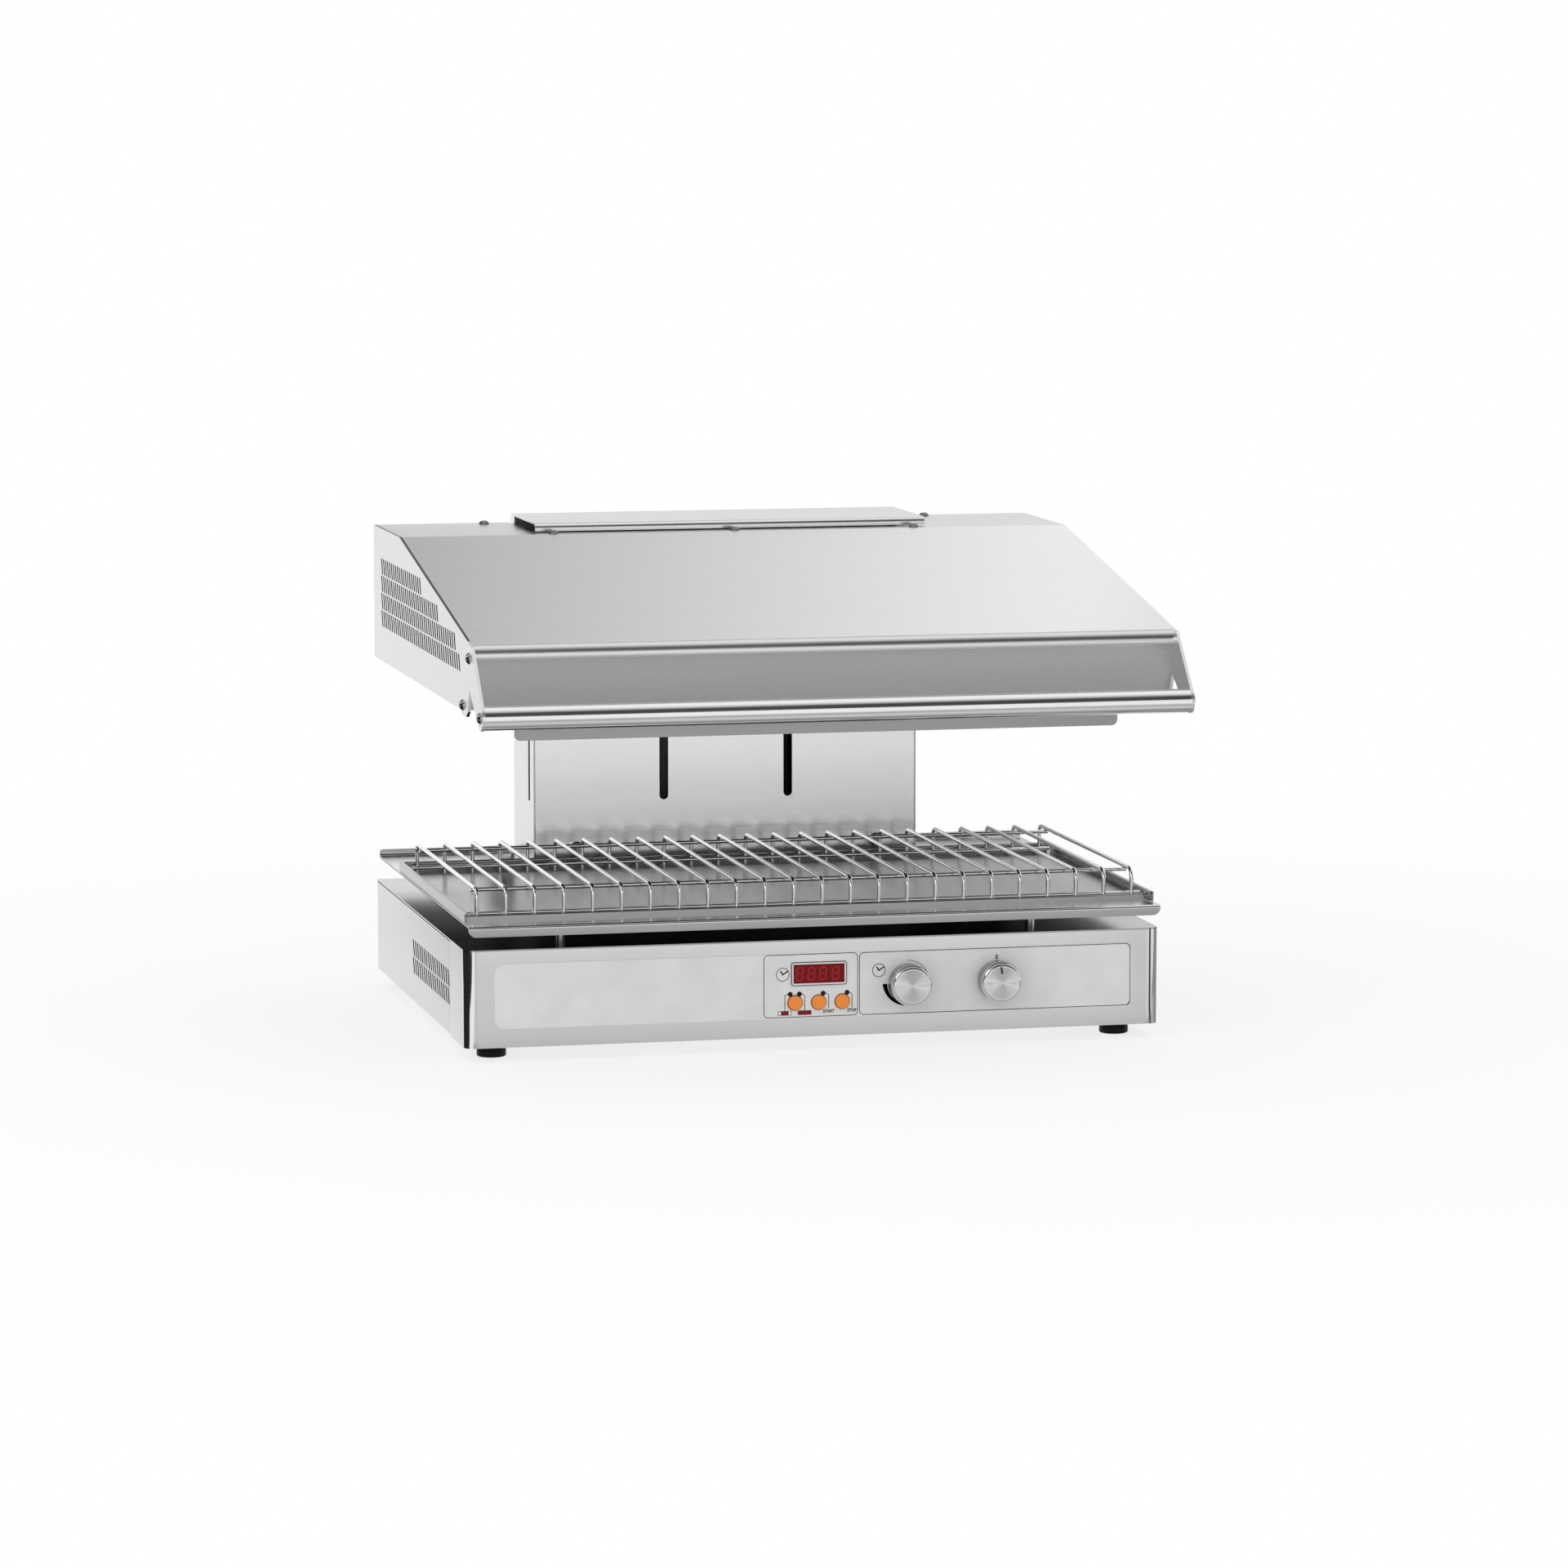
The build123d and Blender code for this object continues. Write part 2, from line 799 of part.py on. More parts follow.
# Carriage: a folded plate with arms through the front slots and lugs through the side slots
plate_front = rod_y + bush_size / 2
plate_back = plate_front + carriage_sheet
carriage_top = arm_z + carriage_height
carriage_half_width = column_half_width - carriage_inset
flange_front = side_slot_y - lug_thickness / 2
carriage_points = (
    (-carriage_half_width, flange_front),
    (-carriage_half_width, plate_back),
    (carriage_half_width, plate_back),
    (carriage_half_width, flange_front),
)
carriage = along_z(folded(carriage_points, 2 * carriage_sheet, carriage_sheet, Side.RIGHT), arm_z, carriage_top)
lug_inner = carriage_half_width - carriage_sheet
for x0, x1 in ((-tunnel_half, -lug_inner), (lug_inner, tunnel_half)):
    carriage += span(x0, x1, flange_front, flange_front + lug_thickness, arm_z, arm_z + arm_height)
for x in (-front_slot_x, front_slot_x):
    arm_side = arm_thickness / 2
    carriage += span(x - arm_side, x + arm_side, tunnel_front, plate_front, arm_z, arm_z + arm_height)
lug_top = carriage_top - spring_lug_drop
lug_bottom = lug_top - spring_lug_thickness
for x in (-spring_x, spring_x):
    lug_side = spring_lug_width / 2
    carriage += span(x - lug_side, x + lug_side, plate_back, spring_y + spring_lug_reach, lug_bottom, lug_top)
save("carriage", carriage)
bushes = []
for x in (-rod_x, rod_x):
    for bush_bottom in (arm_z + bush_edge_gap, carriage_top - bush_edge_gap - bush_height):
        bush = span(
            x - bush_size / 2,
            x + bush_size / 2,
            rod_y - bush_size / 2,
            plate_front,
            bush_bottom,
            bush_bottom + bush_height,
        )
        bushes.append(bush - upright(rod_radius + sliding_fit, x, rod_y, base_top, cap_top))
save("carriage_bushes", *bushes)
save(
    "gas_spring_rods",
    *[upright(spring_rod_radius, x, spring_y, spring_rod_end, lug_bottom) for x in (-spring_x, spring_x)],
)

# Hood shell: one folded sheet, from the back edge over the slope and round the nose to the fascia
fascia_y = front - fascia_foot
nose_y = front - nose_reach
nose_z = hood_top - nose_drop
hood_points = (
    (back, hood_top),
    (crease_y, hood_top),
    (nose_y, nose_z),
    (fascia_y, hood_bottom),
)
hood_section = folded(hood_points, (crease_bend, nose_radius), sheet, Side.LEFT)
screw_hole = screw_shank_radius + screw_hole_gap
top_screw_x = column_half_width - top_screw_inset
top_side_screw_x = column_half_width + top_side_screw_gap
top_screws = [(x, crease_y + top_screw_gap) for x in (-top_screw_x, 0, top_screw_x)]
top_screws += [(x, back - top_side_screw_inset) for x in (-top_side_screw_x, top_side_screw_x)]
screw_holes = [upright(screw_hole, x, y, tray_top, cap_top) for x, y in top_screws]
hood_shell = along_x(hood_section, -hood_inner, hood_inner)
hood_shell -= span(-tunnel_half, tunnel_half, tunnel_front, back + overrun, tray_top, cap_top)
hood_shell -= screw_holes
save("hood_shell", hood_shell)

# Tunnel round the column, flanged under the hood top where the screws hold it
tunnel_points = (
    (-tunnel_half, back),
    (-tunnel_half, tunnel_front),
    (tunnel_half, tunnel_front),
    (tunnel_half, back),
)
tunnel_top = hood_top - sheet
tunnel = along_z(folded(tunnel_points, 2 * sheet, sheet, Side.RIGHT), tray_bottom, tunnel_top)
flange_half = tunnel_half + tunnel_flange
flange_y = tunnel_front - tunnel_flange
flange = span(-flange_half, flange_half, flange_y, back - sheet, tunnel_top - sheet, tunnel_top)
flange -= span(-tunnel_half, tunnel_half, tunnel_front, back + overrun, tray_top, cap_top)
tunnel += flange
save("hood_tunnel", tunnel - screw_holes)

# Hood side plates: cut to the hood's outline, with vents and an arm down to the handle
plate_outline = (
    (back, hood_bottom - plate_hang),
    (back, hood_top),
    (crease_y, hood_top),
    (nose_y, nose_z),
    (fascia_y - notch_gap, hood_bottom - plate_hang),
)
plate_face = make_face(Polyline(*plate_outline, close=True))
nose_corner = plate_face.vertices().sort_by(Axis.X)[0]
plate_face = fillet(nose_corner, plate_nose_radius)
nose_arc = plate_face.edges().filter_by(GeomType.CIRCLE)[0]
arm_nose = Vector(front - arm_nose_reach, hood_bottom + arm_nose_rise)
arm_end = Vector(handle_y, handle_z)
arm_root = Vector(front - arm_root_reach, hood_bottom + arm_root_rise)
arm_rounds = Pos(nose_arc.arc_center.X, nose_arc.arc_center.Y) * Circle(plate_nose_radius)
arm_edges = arm_rounds.edges()
arm_edges += (Pos(arm_root.X, arm_root.Y) * Circle(arm_root_radius)).edges()
arm_edges += (Pos(arm_end.X, arm_end.Y) * Circle(arm_end_radius)).edges()
plate_face += make_hull(arm_edges)
tab_middle = front - (tab_front + tab_back) / 2
tab_z = hood_bottom + tab_rise
plate_face += Pos(tab_middle, tab_z) * SlotCenterToCenter(tab_front - tab_back, 2 * tab_radius)
hood_vent_first = back - hood_vent_back
hood_vent_room = hood_vent_first - nose_y
hood_vent_counts = [1 + int(share * hood_vent_room / hood_vent_pitch) for share in hood_vent_shares]
hood_vents = slanted_slots(hood_vent_first, hood_top - hood_vent_drop, hood_vent_counts, hood_vent_pitch)
side_screws = [(arm_nose.X, arm_nose.Y), (front - tab_back, tab_z)]
plate_face -= hood_vents
plate_screws = side_screws + [(handle_y, handle_z)]
for y, z in plate_screws:
    plate_face -= Pos(y, z) * Circle(screw_hole)
hood_side = along_x(plate_face, hood_inner, hood_half)
save("hood_side_right", hood_side)
save("hood_side_left", mirror(hood_side, about=Plane.YZ))

# Hood back panels on both sides of the column, and the bottom plate round the heater
hood_back = span(tunnel_half + sheet, hood_inner, back - sheet, back, tray_bottom, tunnel_top)
save("hood_back_right", hood_back)
save("hood_back_left", mirror(hood_back, about=Plane.YZ))
hood_floor = span(-hood_inner, hood_inner, fascia_y + 2 * sheet, back, hood_bottom, tray_bottom)
hood_floor -= span(-tunnel_half, tunnel_half, tunnel_front, back + overrun, base_top, cap_top)
heater_y0 = front - heater_reach
heater_y1 = column_front - heater_back_gap
hood_floor -= span(-heater_half_width, heater_half_width, heater_y0, heater_y1, base_top, cap_top)
screw_room = screw_shank_length + running_gap
for x0, x1 in ((-hood_half, screw_room - hood_half), (hood_half - screw_room, hood_half)):
    hood_floor -= bar_x(screw_hole, front - tab_back, tab_z, x0, x1)
save("hood_bottom_plate", hood_floor)

# Heater tray: an open box over the elements, flanged on the bottom plate
tray = span(
    -heater_half_width - sheet,
    heater_half_width + sheet,
    heater_y0 - sheet,
    heater_y1 + sheet,
    tray_bottom,
    tray_top,
)
tray += span(
    -heater_half_width - tray_flange,
    heater_half_width + tray_flange,
    heater_y0 - tray_flange,
    heater_y1 + tray_flange,
    tray_bottom,
    tray_bottom + sheet,
)
tray -= span(-heater_half_width, heater_half_width, heater_y0, heater_y1, hood_bottom, tray_top - sheet)
element_pitch = 2 * heater_half_width / element_count
element_leg = element_pitch * element_leg_share
element_xs = [(step - (element_count - 1) / 2) * element_pitch for step in range(element_count)]
leg_xs = [x + side * element_leg / 2 for x in element_xs for side in (-1, 1)]
element_z = tray_bottom + element_rise
leg_end = heater_y1 + element_tail
leg_holes = [bar_y(element_radius + running_gap, x, element_z, heater_y1 - overrun, leg_end) for x in leg_xs]
save("heater_tray", tray - leg_holes)

# Front lip of the heater, hung under the bottom plate
lip_y = fascia_y + lip_set_back
lip_points = (
    (lip_y, hood_bottom - lip_drop),
    (lip_y, hood_bottom),
    (lip_y - lip_flange, hood_bottom),
)
lip_half_width = heater_half_width + lip_overlap
lip = along_x(folded(lip_points, lip_bend, sheet, Side.LEFT), -lip_half_width, lip_half_width)
low_corners = lip.edges().filter_by(Axis.Y).group_by(Axis.Z)[0]
save("heater_lip", fillet(low_corners, lip_corner))

# Heating elements: hairpin rods, the middle ones and the outer ones on separate circuits
hairpin_front = heater_y0 + element_front_gap
hairpin_path = FilletPolyline(
    (-element_leg / 2, leg_end),
    (-element_leg / 2, hairpin_front),
    (element_leg / 2, hairpin_front),
    (element_leg / 2, leg_end),
    radius=element_leg * element_bend_share,
)
hairpin = sweep(Plane(hairpin_path @ 0, z_dir=hairpin_path % 0) * Circle(element_radius), hairpin_path)
hairpins = [Pos(x, 0, element_z) * hairpin for x in element_xs]
quarter = element_count // 4
save("elements_inner", *hairpins[quarter:-quarter])
save("elements_outer", *hairpins[:quarter], *hairpins[-quarter:])
support_y = heater_y0 + support_setback
support_x = heater_half_width - running_gap
support = span(-support_x, support_x, support_y, support_y + sheet, element_z - support_drop, tray_top - sheet)
support_holes = [
    bar_y(element_radius + running_gap, x, element_z, support_y - overrun, support_y + overrun) for x in leg_xs
]
save("element_support", support - support_holes)
beads = []
for x in leg_xs:
    bead = bar_y(bead_radius, x, element_z, heater_y1 + sheet, heater_y1 + sheet + bead_length)
    beads.append(bead - bar_y(element_radius, x, element_z, heater_y1, leg_end + overrun))
save("element_beads", *beads)
insulation = span(
    insulation_inset - heater_half_width,
    heater_half_width - insulation_inset,
    heater_y0 + insulation_inset,
    heater_y1 - insulation_inset,
    tray_top,
    tray_top + insulation_height,
)
save("insulation", insulation)

# Handle tube between the two side plates, with a threaded plug in each end
tube = bar_x(tube_radius, handle_y, handle_z, -hood_inner, hood_inner)
tube -= bar_x(tube_radius - tube_wall, handle_y, handle_z, tube_plug - hood_inner, hood_inner - tube_plug)
for x0, x1 in ((-hood_half, tube_plug - hood_half), (hood_half - tube_plug, hood_half)):
    tube -= bar_x(screw_hole, handle_y, handle_z, x0, x1)
save("handle_tube", tube)

# Button-head screws with a hexagon socket
screw_section = (
    (0, -screw_shank_length),
    (screw_shank_radius, -screw_shank_length),
    (screw_shank_radius, 0),
    (screw_head_radius, 0),
    (screw_head_radius, screw_head_height * screw_edge_share),
    (screw_crown_radius, screw_head_height),
    (0, screw_head_height),
)
socket = RegularPolygon(socket_flat / 2, 6, major_radius=False)
screw = turned(screw_section) - along_z(socket, screw_head_height - socket_depth, screw_head_height + overrun)
facing_right = Rot(0, 90, 0)
facing_left = Rot(0, -90, 0)
side_places = [Pos(hood_half, y, z) * facing_right for y, z in plate_screws]
side_places += [Pos(-hood_half, y, z) * facing_left for y, z in plate_screws]
save("hood_side_screws", *[place * screw for place in side_places])
save("hood_top_screws", *[Pos(x, y, hood_top) * screw for x, y in top_screws])
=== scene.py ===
from math import cos, pi, radians, sin, tan

import bpy
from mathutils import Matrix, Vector


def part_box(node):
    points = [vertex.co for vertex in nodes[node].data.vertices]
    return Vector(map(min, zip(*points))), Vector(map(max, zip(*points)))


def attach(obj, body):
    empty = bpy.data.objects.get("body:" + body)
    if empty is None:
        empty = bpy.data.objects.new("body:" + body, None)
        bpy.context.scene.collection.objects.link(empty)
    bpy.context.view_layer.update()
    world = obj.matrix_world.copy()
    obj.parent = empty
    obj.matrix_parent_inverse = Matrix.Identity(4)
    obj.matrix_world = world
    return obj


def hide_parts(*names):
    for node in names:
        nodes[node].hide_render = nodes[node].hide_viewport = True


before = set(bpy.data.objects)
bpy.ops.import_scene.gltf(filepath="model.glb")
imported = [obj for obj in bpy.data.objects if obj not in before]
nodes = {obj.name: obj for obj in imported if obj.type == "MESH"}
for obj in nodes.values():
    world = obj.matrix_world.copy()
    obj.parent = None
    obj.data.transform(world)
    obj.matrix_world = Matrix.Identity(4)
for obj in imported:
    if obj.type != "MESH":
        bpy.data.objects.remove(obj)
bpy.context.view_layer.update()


# Camera: a long lens that stands left of the middle and a little above the hood.
# The grill is seen almost from the front, with its left side plate in view.
camera_place = (-1.18014, -5.15832, 0.85802)
look_down, look_right = 7.0396, 13.035
lens_length, sensor_width, sight = 141.22, 36, 60
bpy.ops.object.select_all(action="DESELECT")
bpy.ops.object.camera_add(
    location=camera_place, rotation=(radians(90 - look_down), 0, radians(-look_right))
)
camera = bpy.context.object
camera.data.lens = lens_length
camera.data.sensor_width = sensor_width
camera.data.clip_end = sight
bpy.context.scene.camera = camera
bpy.context.scene.view_settings.view_transform = "Standard"


# Studio: a white table that runs back without an edge, a soft lamp from the left, a soft lamp
# above and an even white room. Grey cards, which only steel sees, stand in for a photographer's
# flags and give the metal its bands.
class Shade:
    """A socket in a node tree; sums and products of sockets add Math nodes."""

    def __init__(self, tree, socket=None):
        self.tree = tree
        self.socket = socket

    def node(self, kind, settings=None, sockets=None, out=0):
        made = self.tree.nodes.new("ShaderNode" + kind)
        for name, value in (settings or {}).items():
            setattr(made, name, value)
        for name, value in (sockets or {}).items():
            self.join(value, made.inputs[name])
        return Shade(self.tree, made.outputs[out] if made.outputs else None)

    def join(self, value, socket):
        if isinstance(value, Shade):
            self.tree.links.new(value.socket, socket)
        else:
            socket.default_value = value

    def maths(self, operation, first, second):
        return self.node("Math", {"operation": operation}, {0: first, 1: second})

    def mix(self, share, first, second):
        return self.node("Mix", {"data_type": "RGBA"}, {0: share, 6: first, 7: second}, out=2)

    def axis(self, name):
        return self.node("SeparateXYZ", {}, {"Vector": self}, out=name)

    def __add__(self, other):
        return self.maths("ADD", self, other)

    def __radd__(self, other):
        return self.maths("ADD", other, self)

    def __sub__(self, other):
        return self.maths("SUBTRACT", self, other)

    def __rsub__(self, other):
        return self.maths("SUBTRACT", other, self)

    def __mul__(self, other):
        return self.maths("MULTIPLY", self, other)

    def __pow__(self, other):
        return self.maths("POWER", self, other)


def seen_rays(shade):
    """1 for rays from the camera and for what steel and glass mirror or let through."""
    camera_ray = shade.node("LightPath", out="Is Camera Ray")
    glossy_ray = shade.node("LightPath", out="Is Glossy Ray")
    through_ray = shade.node("LightPath", out="Is Transmission Ray")
    both = shade.maths("MAXIMUM", camera_ray, glossy_ray)
    return shade.maths("MAXIMUM", both, through_ray)


white = (1, 1, 1, 1)
paper_white = (0.9, 0.9, 0.9, 1)
table_size = 40
glow_start, glow_end, glow_near = 0.7, 1.6, 0.74
bpy.ops.object.select_all(action="DESELECT")
bpy.ops.mesh.primitive_plane_add(size=table_size)
table = bpy.context.object
table.name = "table"
table_white = bpy.data.materials.new("table_white")
table_white.use_nodes = True
table_white.node_tree.nodes.clear()
shade = Shade(table_white.node_tree)
glow = shade.node("Emission", {}, {"Color": white, "Strength": 1})
matt = shade.node("BsdfDiffuse", {}, {"Color": paper_white})
place = shade.node("TexCoord", out="Object")
reach = shade.node("VectorMath", {"operation": "LENGTH"}, {0: place}, out="Value")
far = shade.node(
    "MapRange",
    {},
    {"Value": reach, "From Min": glow_start, "From Max": glow_end, "To Min": glow_near, "To Max": 1},
)
table_mix = shade.node("MixShader", {}, {0: seen_rays(shade) * far, 1: matt, 2: glow})
shade.node("OutputMaterial", {}, {"Surface": table_mix})
table.data.materials.append(table_white)

room_light = 0.85
room = bpy.data.worlds.new("white_room")
bpy.context.scene.world = room
room.use_nodes = True
room.node_tree.nodes.clear()
shade = Shade(room.node_tree)
room_level = room_light + seen_rays(shade) * (1 - room_light)
backdrop = shade.node("Background", {}, {"Color": white, "Strength": room_level})
shade.node("OutputWorld", {}, {"Surface": backdrop})


def soft_lamp(name, place, target, width, height, power):
    """A large rectangular lamp that looks at the target."""
    bpy.ops.object.select_all(action="DESELECT")
    turn = (Vector(target) - Vector(place)).to_track_quat("-Z", "Y").to_euler()
    bpy.ops.object.light_add(type="AREA", location=place, rotation=turn)
    lamp = bpy.context.object
    lamp.name = name
    lamp.data.shape = "RECTANGLE"
    lamp.data.size = width
    lamp.data.size_y = height
    lamp.data.energy = power
    return lamp


lit_point = (0, 0, 0.2)
soft_lamp("lamp_left", (-2.4, -1.6, 1.9), lit_point, width=1.6, height=1.6, power=14)
lamp_above = soft_lamp("lamp_above", (0.2, 0.2, 2.6), lit_point, width=2.2, height=1.6, power=9)
lamp_above.visible_glossy = False


def grey_card(name, corners, tone, far_tone=None, axis="X"):
    """A card that only steel sees, as a photographer's flag; its tone can run along one axis."""
    bpy.ops.object.select_all(action="DESELECT")
    bpy.ops.mesh.primitive_plane_add(size=1)
    card = bpy.context.object
    card.name = name
    for vertex, corner in zip(card.data.vertices, corners):
        vertex.co = corner
    paper = bpy.data.materials.new(name)
    paper.use_nodes = True
    paper.node_tree.nodes.clear()
    ground = Shade(paper.node_tree)
    run = ground.node("TexCoord", out="Object").axis(axis)
    ends = [corner["XYZ".index(axis)] for corner in corners]
    limits = {"From Min": min(ends), "From Max": max(ends)}
    tones = {"To Min": tone, "To Max": tone if far_tone is None else far_tone}
    level = ground.node("MapRange", {}, {"Value": run, **limits, **tones})
    flat = ground.node("Emission", {}, {"Color": white, "Strength": level})
    ground.node("OutputMaterial", {}, {"Surface": flat})
    card.data.materials.append(paper)
    card.visible_camera = False
    card.visible_diffuse = False
    card.visible_shadow = False
    card.visible_transmission = False


def standing(x0, y0, x1, y1, low, high):
    """The corners of an upright card, in the order of a plane's vertices."""
    return ((x0, y0, low), (x1, y1, low), (x0, y0, high), (x1, y1, high))


def lying(x0, x1, y0, y1, level):
    """The corners of a card that lies flat, on the table or above it."""
    return ((x0, y0, level), (x1, y0, level), (x0, y1, level), (x1, y1, level))


floor_level, side_level, near_level, line_level = 0.002, 0.003, 0.004, 0.005
bench_level, ceiling_level, wall_y, front_y = 0.092, 3, 1.3, -2.5


def wedge(side):
    """The corners of a card on the table that fans out from a front corner of the base."""
    points = ((0.304, -0.177), (0.304, -0.175), (0.5, -0.33), (0.5, 0.16))
    return tuple((side * x, y, side_level) for x, y in points)


# Seen in the base's front and, from the bench, in the fascia and the nose.
grey_card("card_floor", lying(-0.31, 1.6, -1.2, -0.2, floor_level), 0.62, 0.95)
grey_card("card_floor_near", lying(-0.31, 0.5, -0.26, -0.19, near_level), 0.45)
grey_card("card_bench", lying(-1.6, 1.6, -0.66, -0.41, bench_level), 0.3, 0.7, "Y")
grey_card("card_bench_near", lying(-1.6, 1.6, -0.41, -0.25, bench_level), 0.7, 0.15, "Y")
# Seen under the carrier plate, in the base's top, the column and the hood's slope.
# The card under the carrier plate is painted shade: a near-black sheet in the gap, seen in the
# base's mirror top.
grey_card("card_under_shade", standing(-0.17, 0.268, 0.29, 0.268, 0.0952, 0.1145), 0.01)
grey_card("card_back", standing(-0.1, wall_y, 0.75, wall_y, 0.3, 0.62), 1.05, 0.6)
grey_card("card_high", standing(-4, front_y, 4, front_y, 0.96, ceiling_level), 0.06)
grey_card("card_ceiling", lying(-4, 4, front_y, -0.6, ceiling_level), 0.08, 0.95, "Y")
grey_card("card_gap", lying(-3, 3, 1.5, 2.4, ceiling_level), 0.3)
grey_card("card_behind", standing(-0.11, 0.75, 0.6, 0.75, 0, 0.36), 0.02, 0.85)
grey_card("card_slope", standing(-0.75, wall_y, 0.75, wall_y, 0.62, 1.7), 0.05, 1.2)
grey_card("card_slope_left", standing(-2.2, wall_y, -0.75, wall_y, 0.62, 1.7), 0.05)
# Seen in the polished front corners of the base.
right_line = (
    (0.303, -0.185, line_level),
    (0.305, -0.183, line_level),
    (0.56, -0.885, line_level),
    (0.734, -0.794, line_level),
)
grey_card("card_left_near", wedge(-1), 0.02)
grey_card("card_left_floor", lying(-1.3, -0.5, -0.75, 0.7, side_level), 0.02)
grey_card("card_left_wall", standing(-1.4, -0.9, -1.4, 0.8, 0, 0.8), 0.02, axis="Y")
grey_card("card_right_near", wedge(1), 0.28)
grey_card("card_right_line", right_line, 0.05)
grey_card("card_right_floor", lying(0.5, 1.3, -0.33, 0.7, side_level), 0.28)
# Seen in the rings of the knobs.
grey_card("card_right_front", standing(0.72, -1.35, 1.9, -0.9, 0.1, 1.2), 0.05)
grey_card("card_key", standing(-1.1, -2.2, -0.3, -2.2, 0.55, 1.35), 2.6)


# Base: a box of 1.2 mm stainless sheet, brushed along its length, folded and screwed together.
# The front panel wraps round both front corners; the sides carry two rows of slanted vents.
steel_tint = (0.985, 1, 0.987)
relief_height = 0.0001


def new_finish(name):
    """A material with its main shader and a start for its nodes."""
    material = bpy.data.materials.new(name)
    material.use_nodes = True
    tree = material.node_tree
    return material, tree.nodes["Principled BSDF"], Shade(tree)


def dress(material, *names):
    """Gives CAD nodes a material in all their slots."""
    for name in names:
        node = nodes[name]
        if not node.material_slots:
            node.data.materials.append(material)
        for slot in node.material_slots:
            slot.material = material


def drift(shade, share, colour, darker, lighter):
    """A colour that runs with a share from a darker to a lighter tone of itself."""
    dark = [part * darker for part in colour] + [1]
    light = [min(part * lighter, 1) for part in colour] + [1]
    return shade.mix(share, dark, light)


def stretched_noise(shade, place, stretch, detail):
    """Noise that is finer along some axes than along others."""
    spread = shade.node("Mapping", {}, {"Vector": place, "Scale": stretch})
    return shade.node("TexNoise", {}, {"Vector": spread, "Scale": 1, "Detail": detail})


def brushed_steel(name, tone, roughness=0.32, grain=0, streak=0.05):
    """Stainless sheet with a fine brushed grain along one axis and a slow drift of tone."""
    line_along, line_across, band_along, band_across = 9, 1500, 2, 60
    fine_share, rough_spread, relief_strength = 0.6, 0.12, 0.07
    material, shader, shade = new_finish(name)
    place = shade.node("TexCoord", out="Object")
    line_scale, band_scale = [line_across] * 3, [band_across] * 3
    line_scale[grain], band_scale[grain] = line_along, band_along
    fine = stretched_noise(shade, place, line_scale, detail=2)
    bands = stretched_noise(shade, place, band_scale, detail=3)
    share = fine * fine_share + bands * (1 - fine_share)
    colour = drift(shade, share, [tone * part for part in steel_tint], 1 - streak, 1 + streak)
    shade.join(colour, shader.inputs["Base Color"])
    shade.join(roughness - rough_spread / 2 + fine * rough_spread, shader.inputs["Roughness"])
    relief = {"Strength": relief_strength, "Distance": relief_height, "Height": fine}
    shade.join(shade.node("Bump", {}, relief), shader.inputs["Normal"])
    shader.inputs["Metallic"].default_value = 1
    return material


def fed(material, name):
    """An input of a material's main shader, and what feeds it so far."""
    socket = material.node_tree.nodes["Principled BSDF"].inputs[name]
    return socket, Shade(material.node_tree, socket.links[0].from_socket)


def polish_corners(material, start, back, gloss):
    """Makes a sheet glossy where it bends round the two front corners."""
    blend = 0.003
    rough_socket, rough = fed(material, "Roughness")
    place = rough.node("TexCoord", out="Object")
    off = rough.maths("ABSOLUTE", place.axis("X"), 0)
    wide = rough.node("MapRange", {}, {"Value": off, "From Min": start, "From Max": start + blend})
    bend = wide * rough.maths("LESS_THAN", place.axis("Y"), back)
    rough.join(rough + bend * (gloss - rough), rough_socket)


def shade_edges(material, face, front_y=-1):
    """Paints near-black shade on a plate everywhere but its outer face (its edges, the walls of its
    vents, its inside), behind a distance from the front.
    """
    # the near-black colour here is painted shade
    skin, edge_shade = 0.0002, [0.03, 0.03, 0.03, 1]
    colour_socket, sheen = fed(material, "Base Color")
    place = sheen.node("TexCoord", out="Object")
    depth = face - sheen.maths("ABSOLUTE", place.axis("X"), 0)
    inside = sheen.maths("GREATER_THAN", depth, skin)
    behind = sheen.maths("GREATER_THAN", place.axis("Y"), front_y)
    sheen.join(sheen.mix(inside * behind, sheen, edge_shade), colour_socket)


front_steel = brushed_steel("base_front_steel", tone=0.82)
polish_corners(front_steel, start=0.2875, back=-0.1715, gloss=0.08)
dress(front_steel, "base_front_panel")
base_side_steel = brushed_steel("base_side_steel", tone=0.76, grain=1)
# The side plates' vent walls and inner faces get painted shade, near black.
shade_edges(base_side_steel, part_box("base_side_right")[1].x)
dress(base_side_steel, "base_side_left", "base_side_right")
dress(brushed_steel("base_back_steel", tone=0.66), "base_back_panel", "base_bottom_plate")


# Base top: the same sheet, polished like a mirror, so that it shows the carrier plate above it.
# Four polished round posts stand on it and hold the carrier plate up.
def polished_steel(name, tone, roughness, tint=(1, 1, 1)):
    """Bright polished metal with faint wipe marks."""
    wipe_scale, darker, lighter = (6, 25, 25), 0.95, 1.04
    material, shader, shade = new_finish(name)
    place = shade.node("TexCoord", out="Object")
    marks = stretched_noise(shade, place, wipe_scale, detail=4)
    colour = drift(shade, marks, [tone * part for part in tint], darker, lighter)
    shade.join(colour, shader.inputs["Base Color"])
    shade.join(roughness / 2 + marks * roughness, shader.inputs["Roughness"])
    shader.inputs["Metallic"].default_value = 1
    return material


dress(polished_steel("base_top_mirror", tone=0.42, roughness=0.14), "base_top_plate")
dress(polished_steel("post_mirror", tone=0.74, roughness=0.1), "posts")


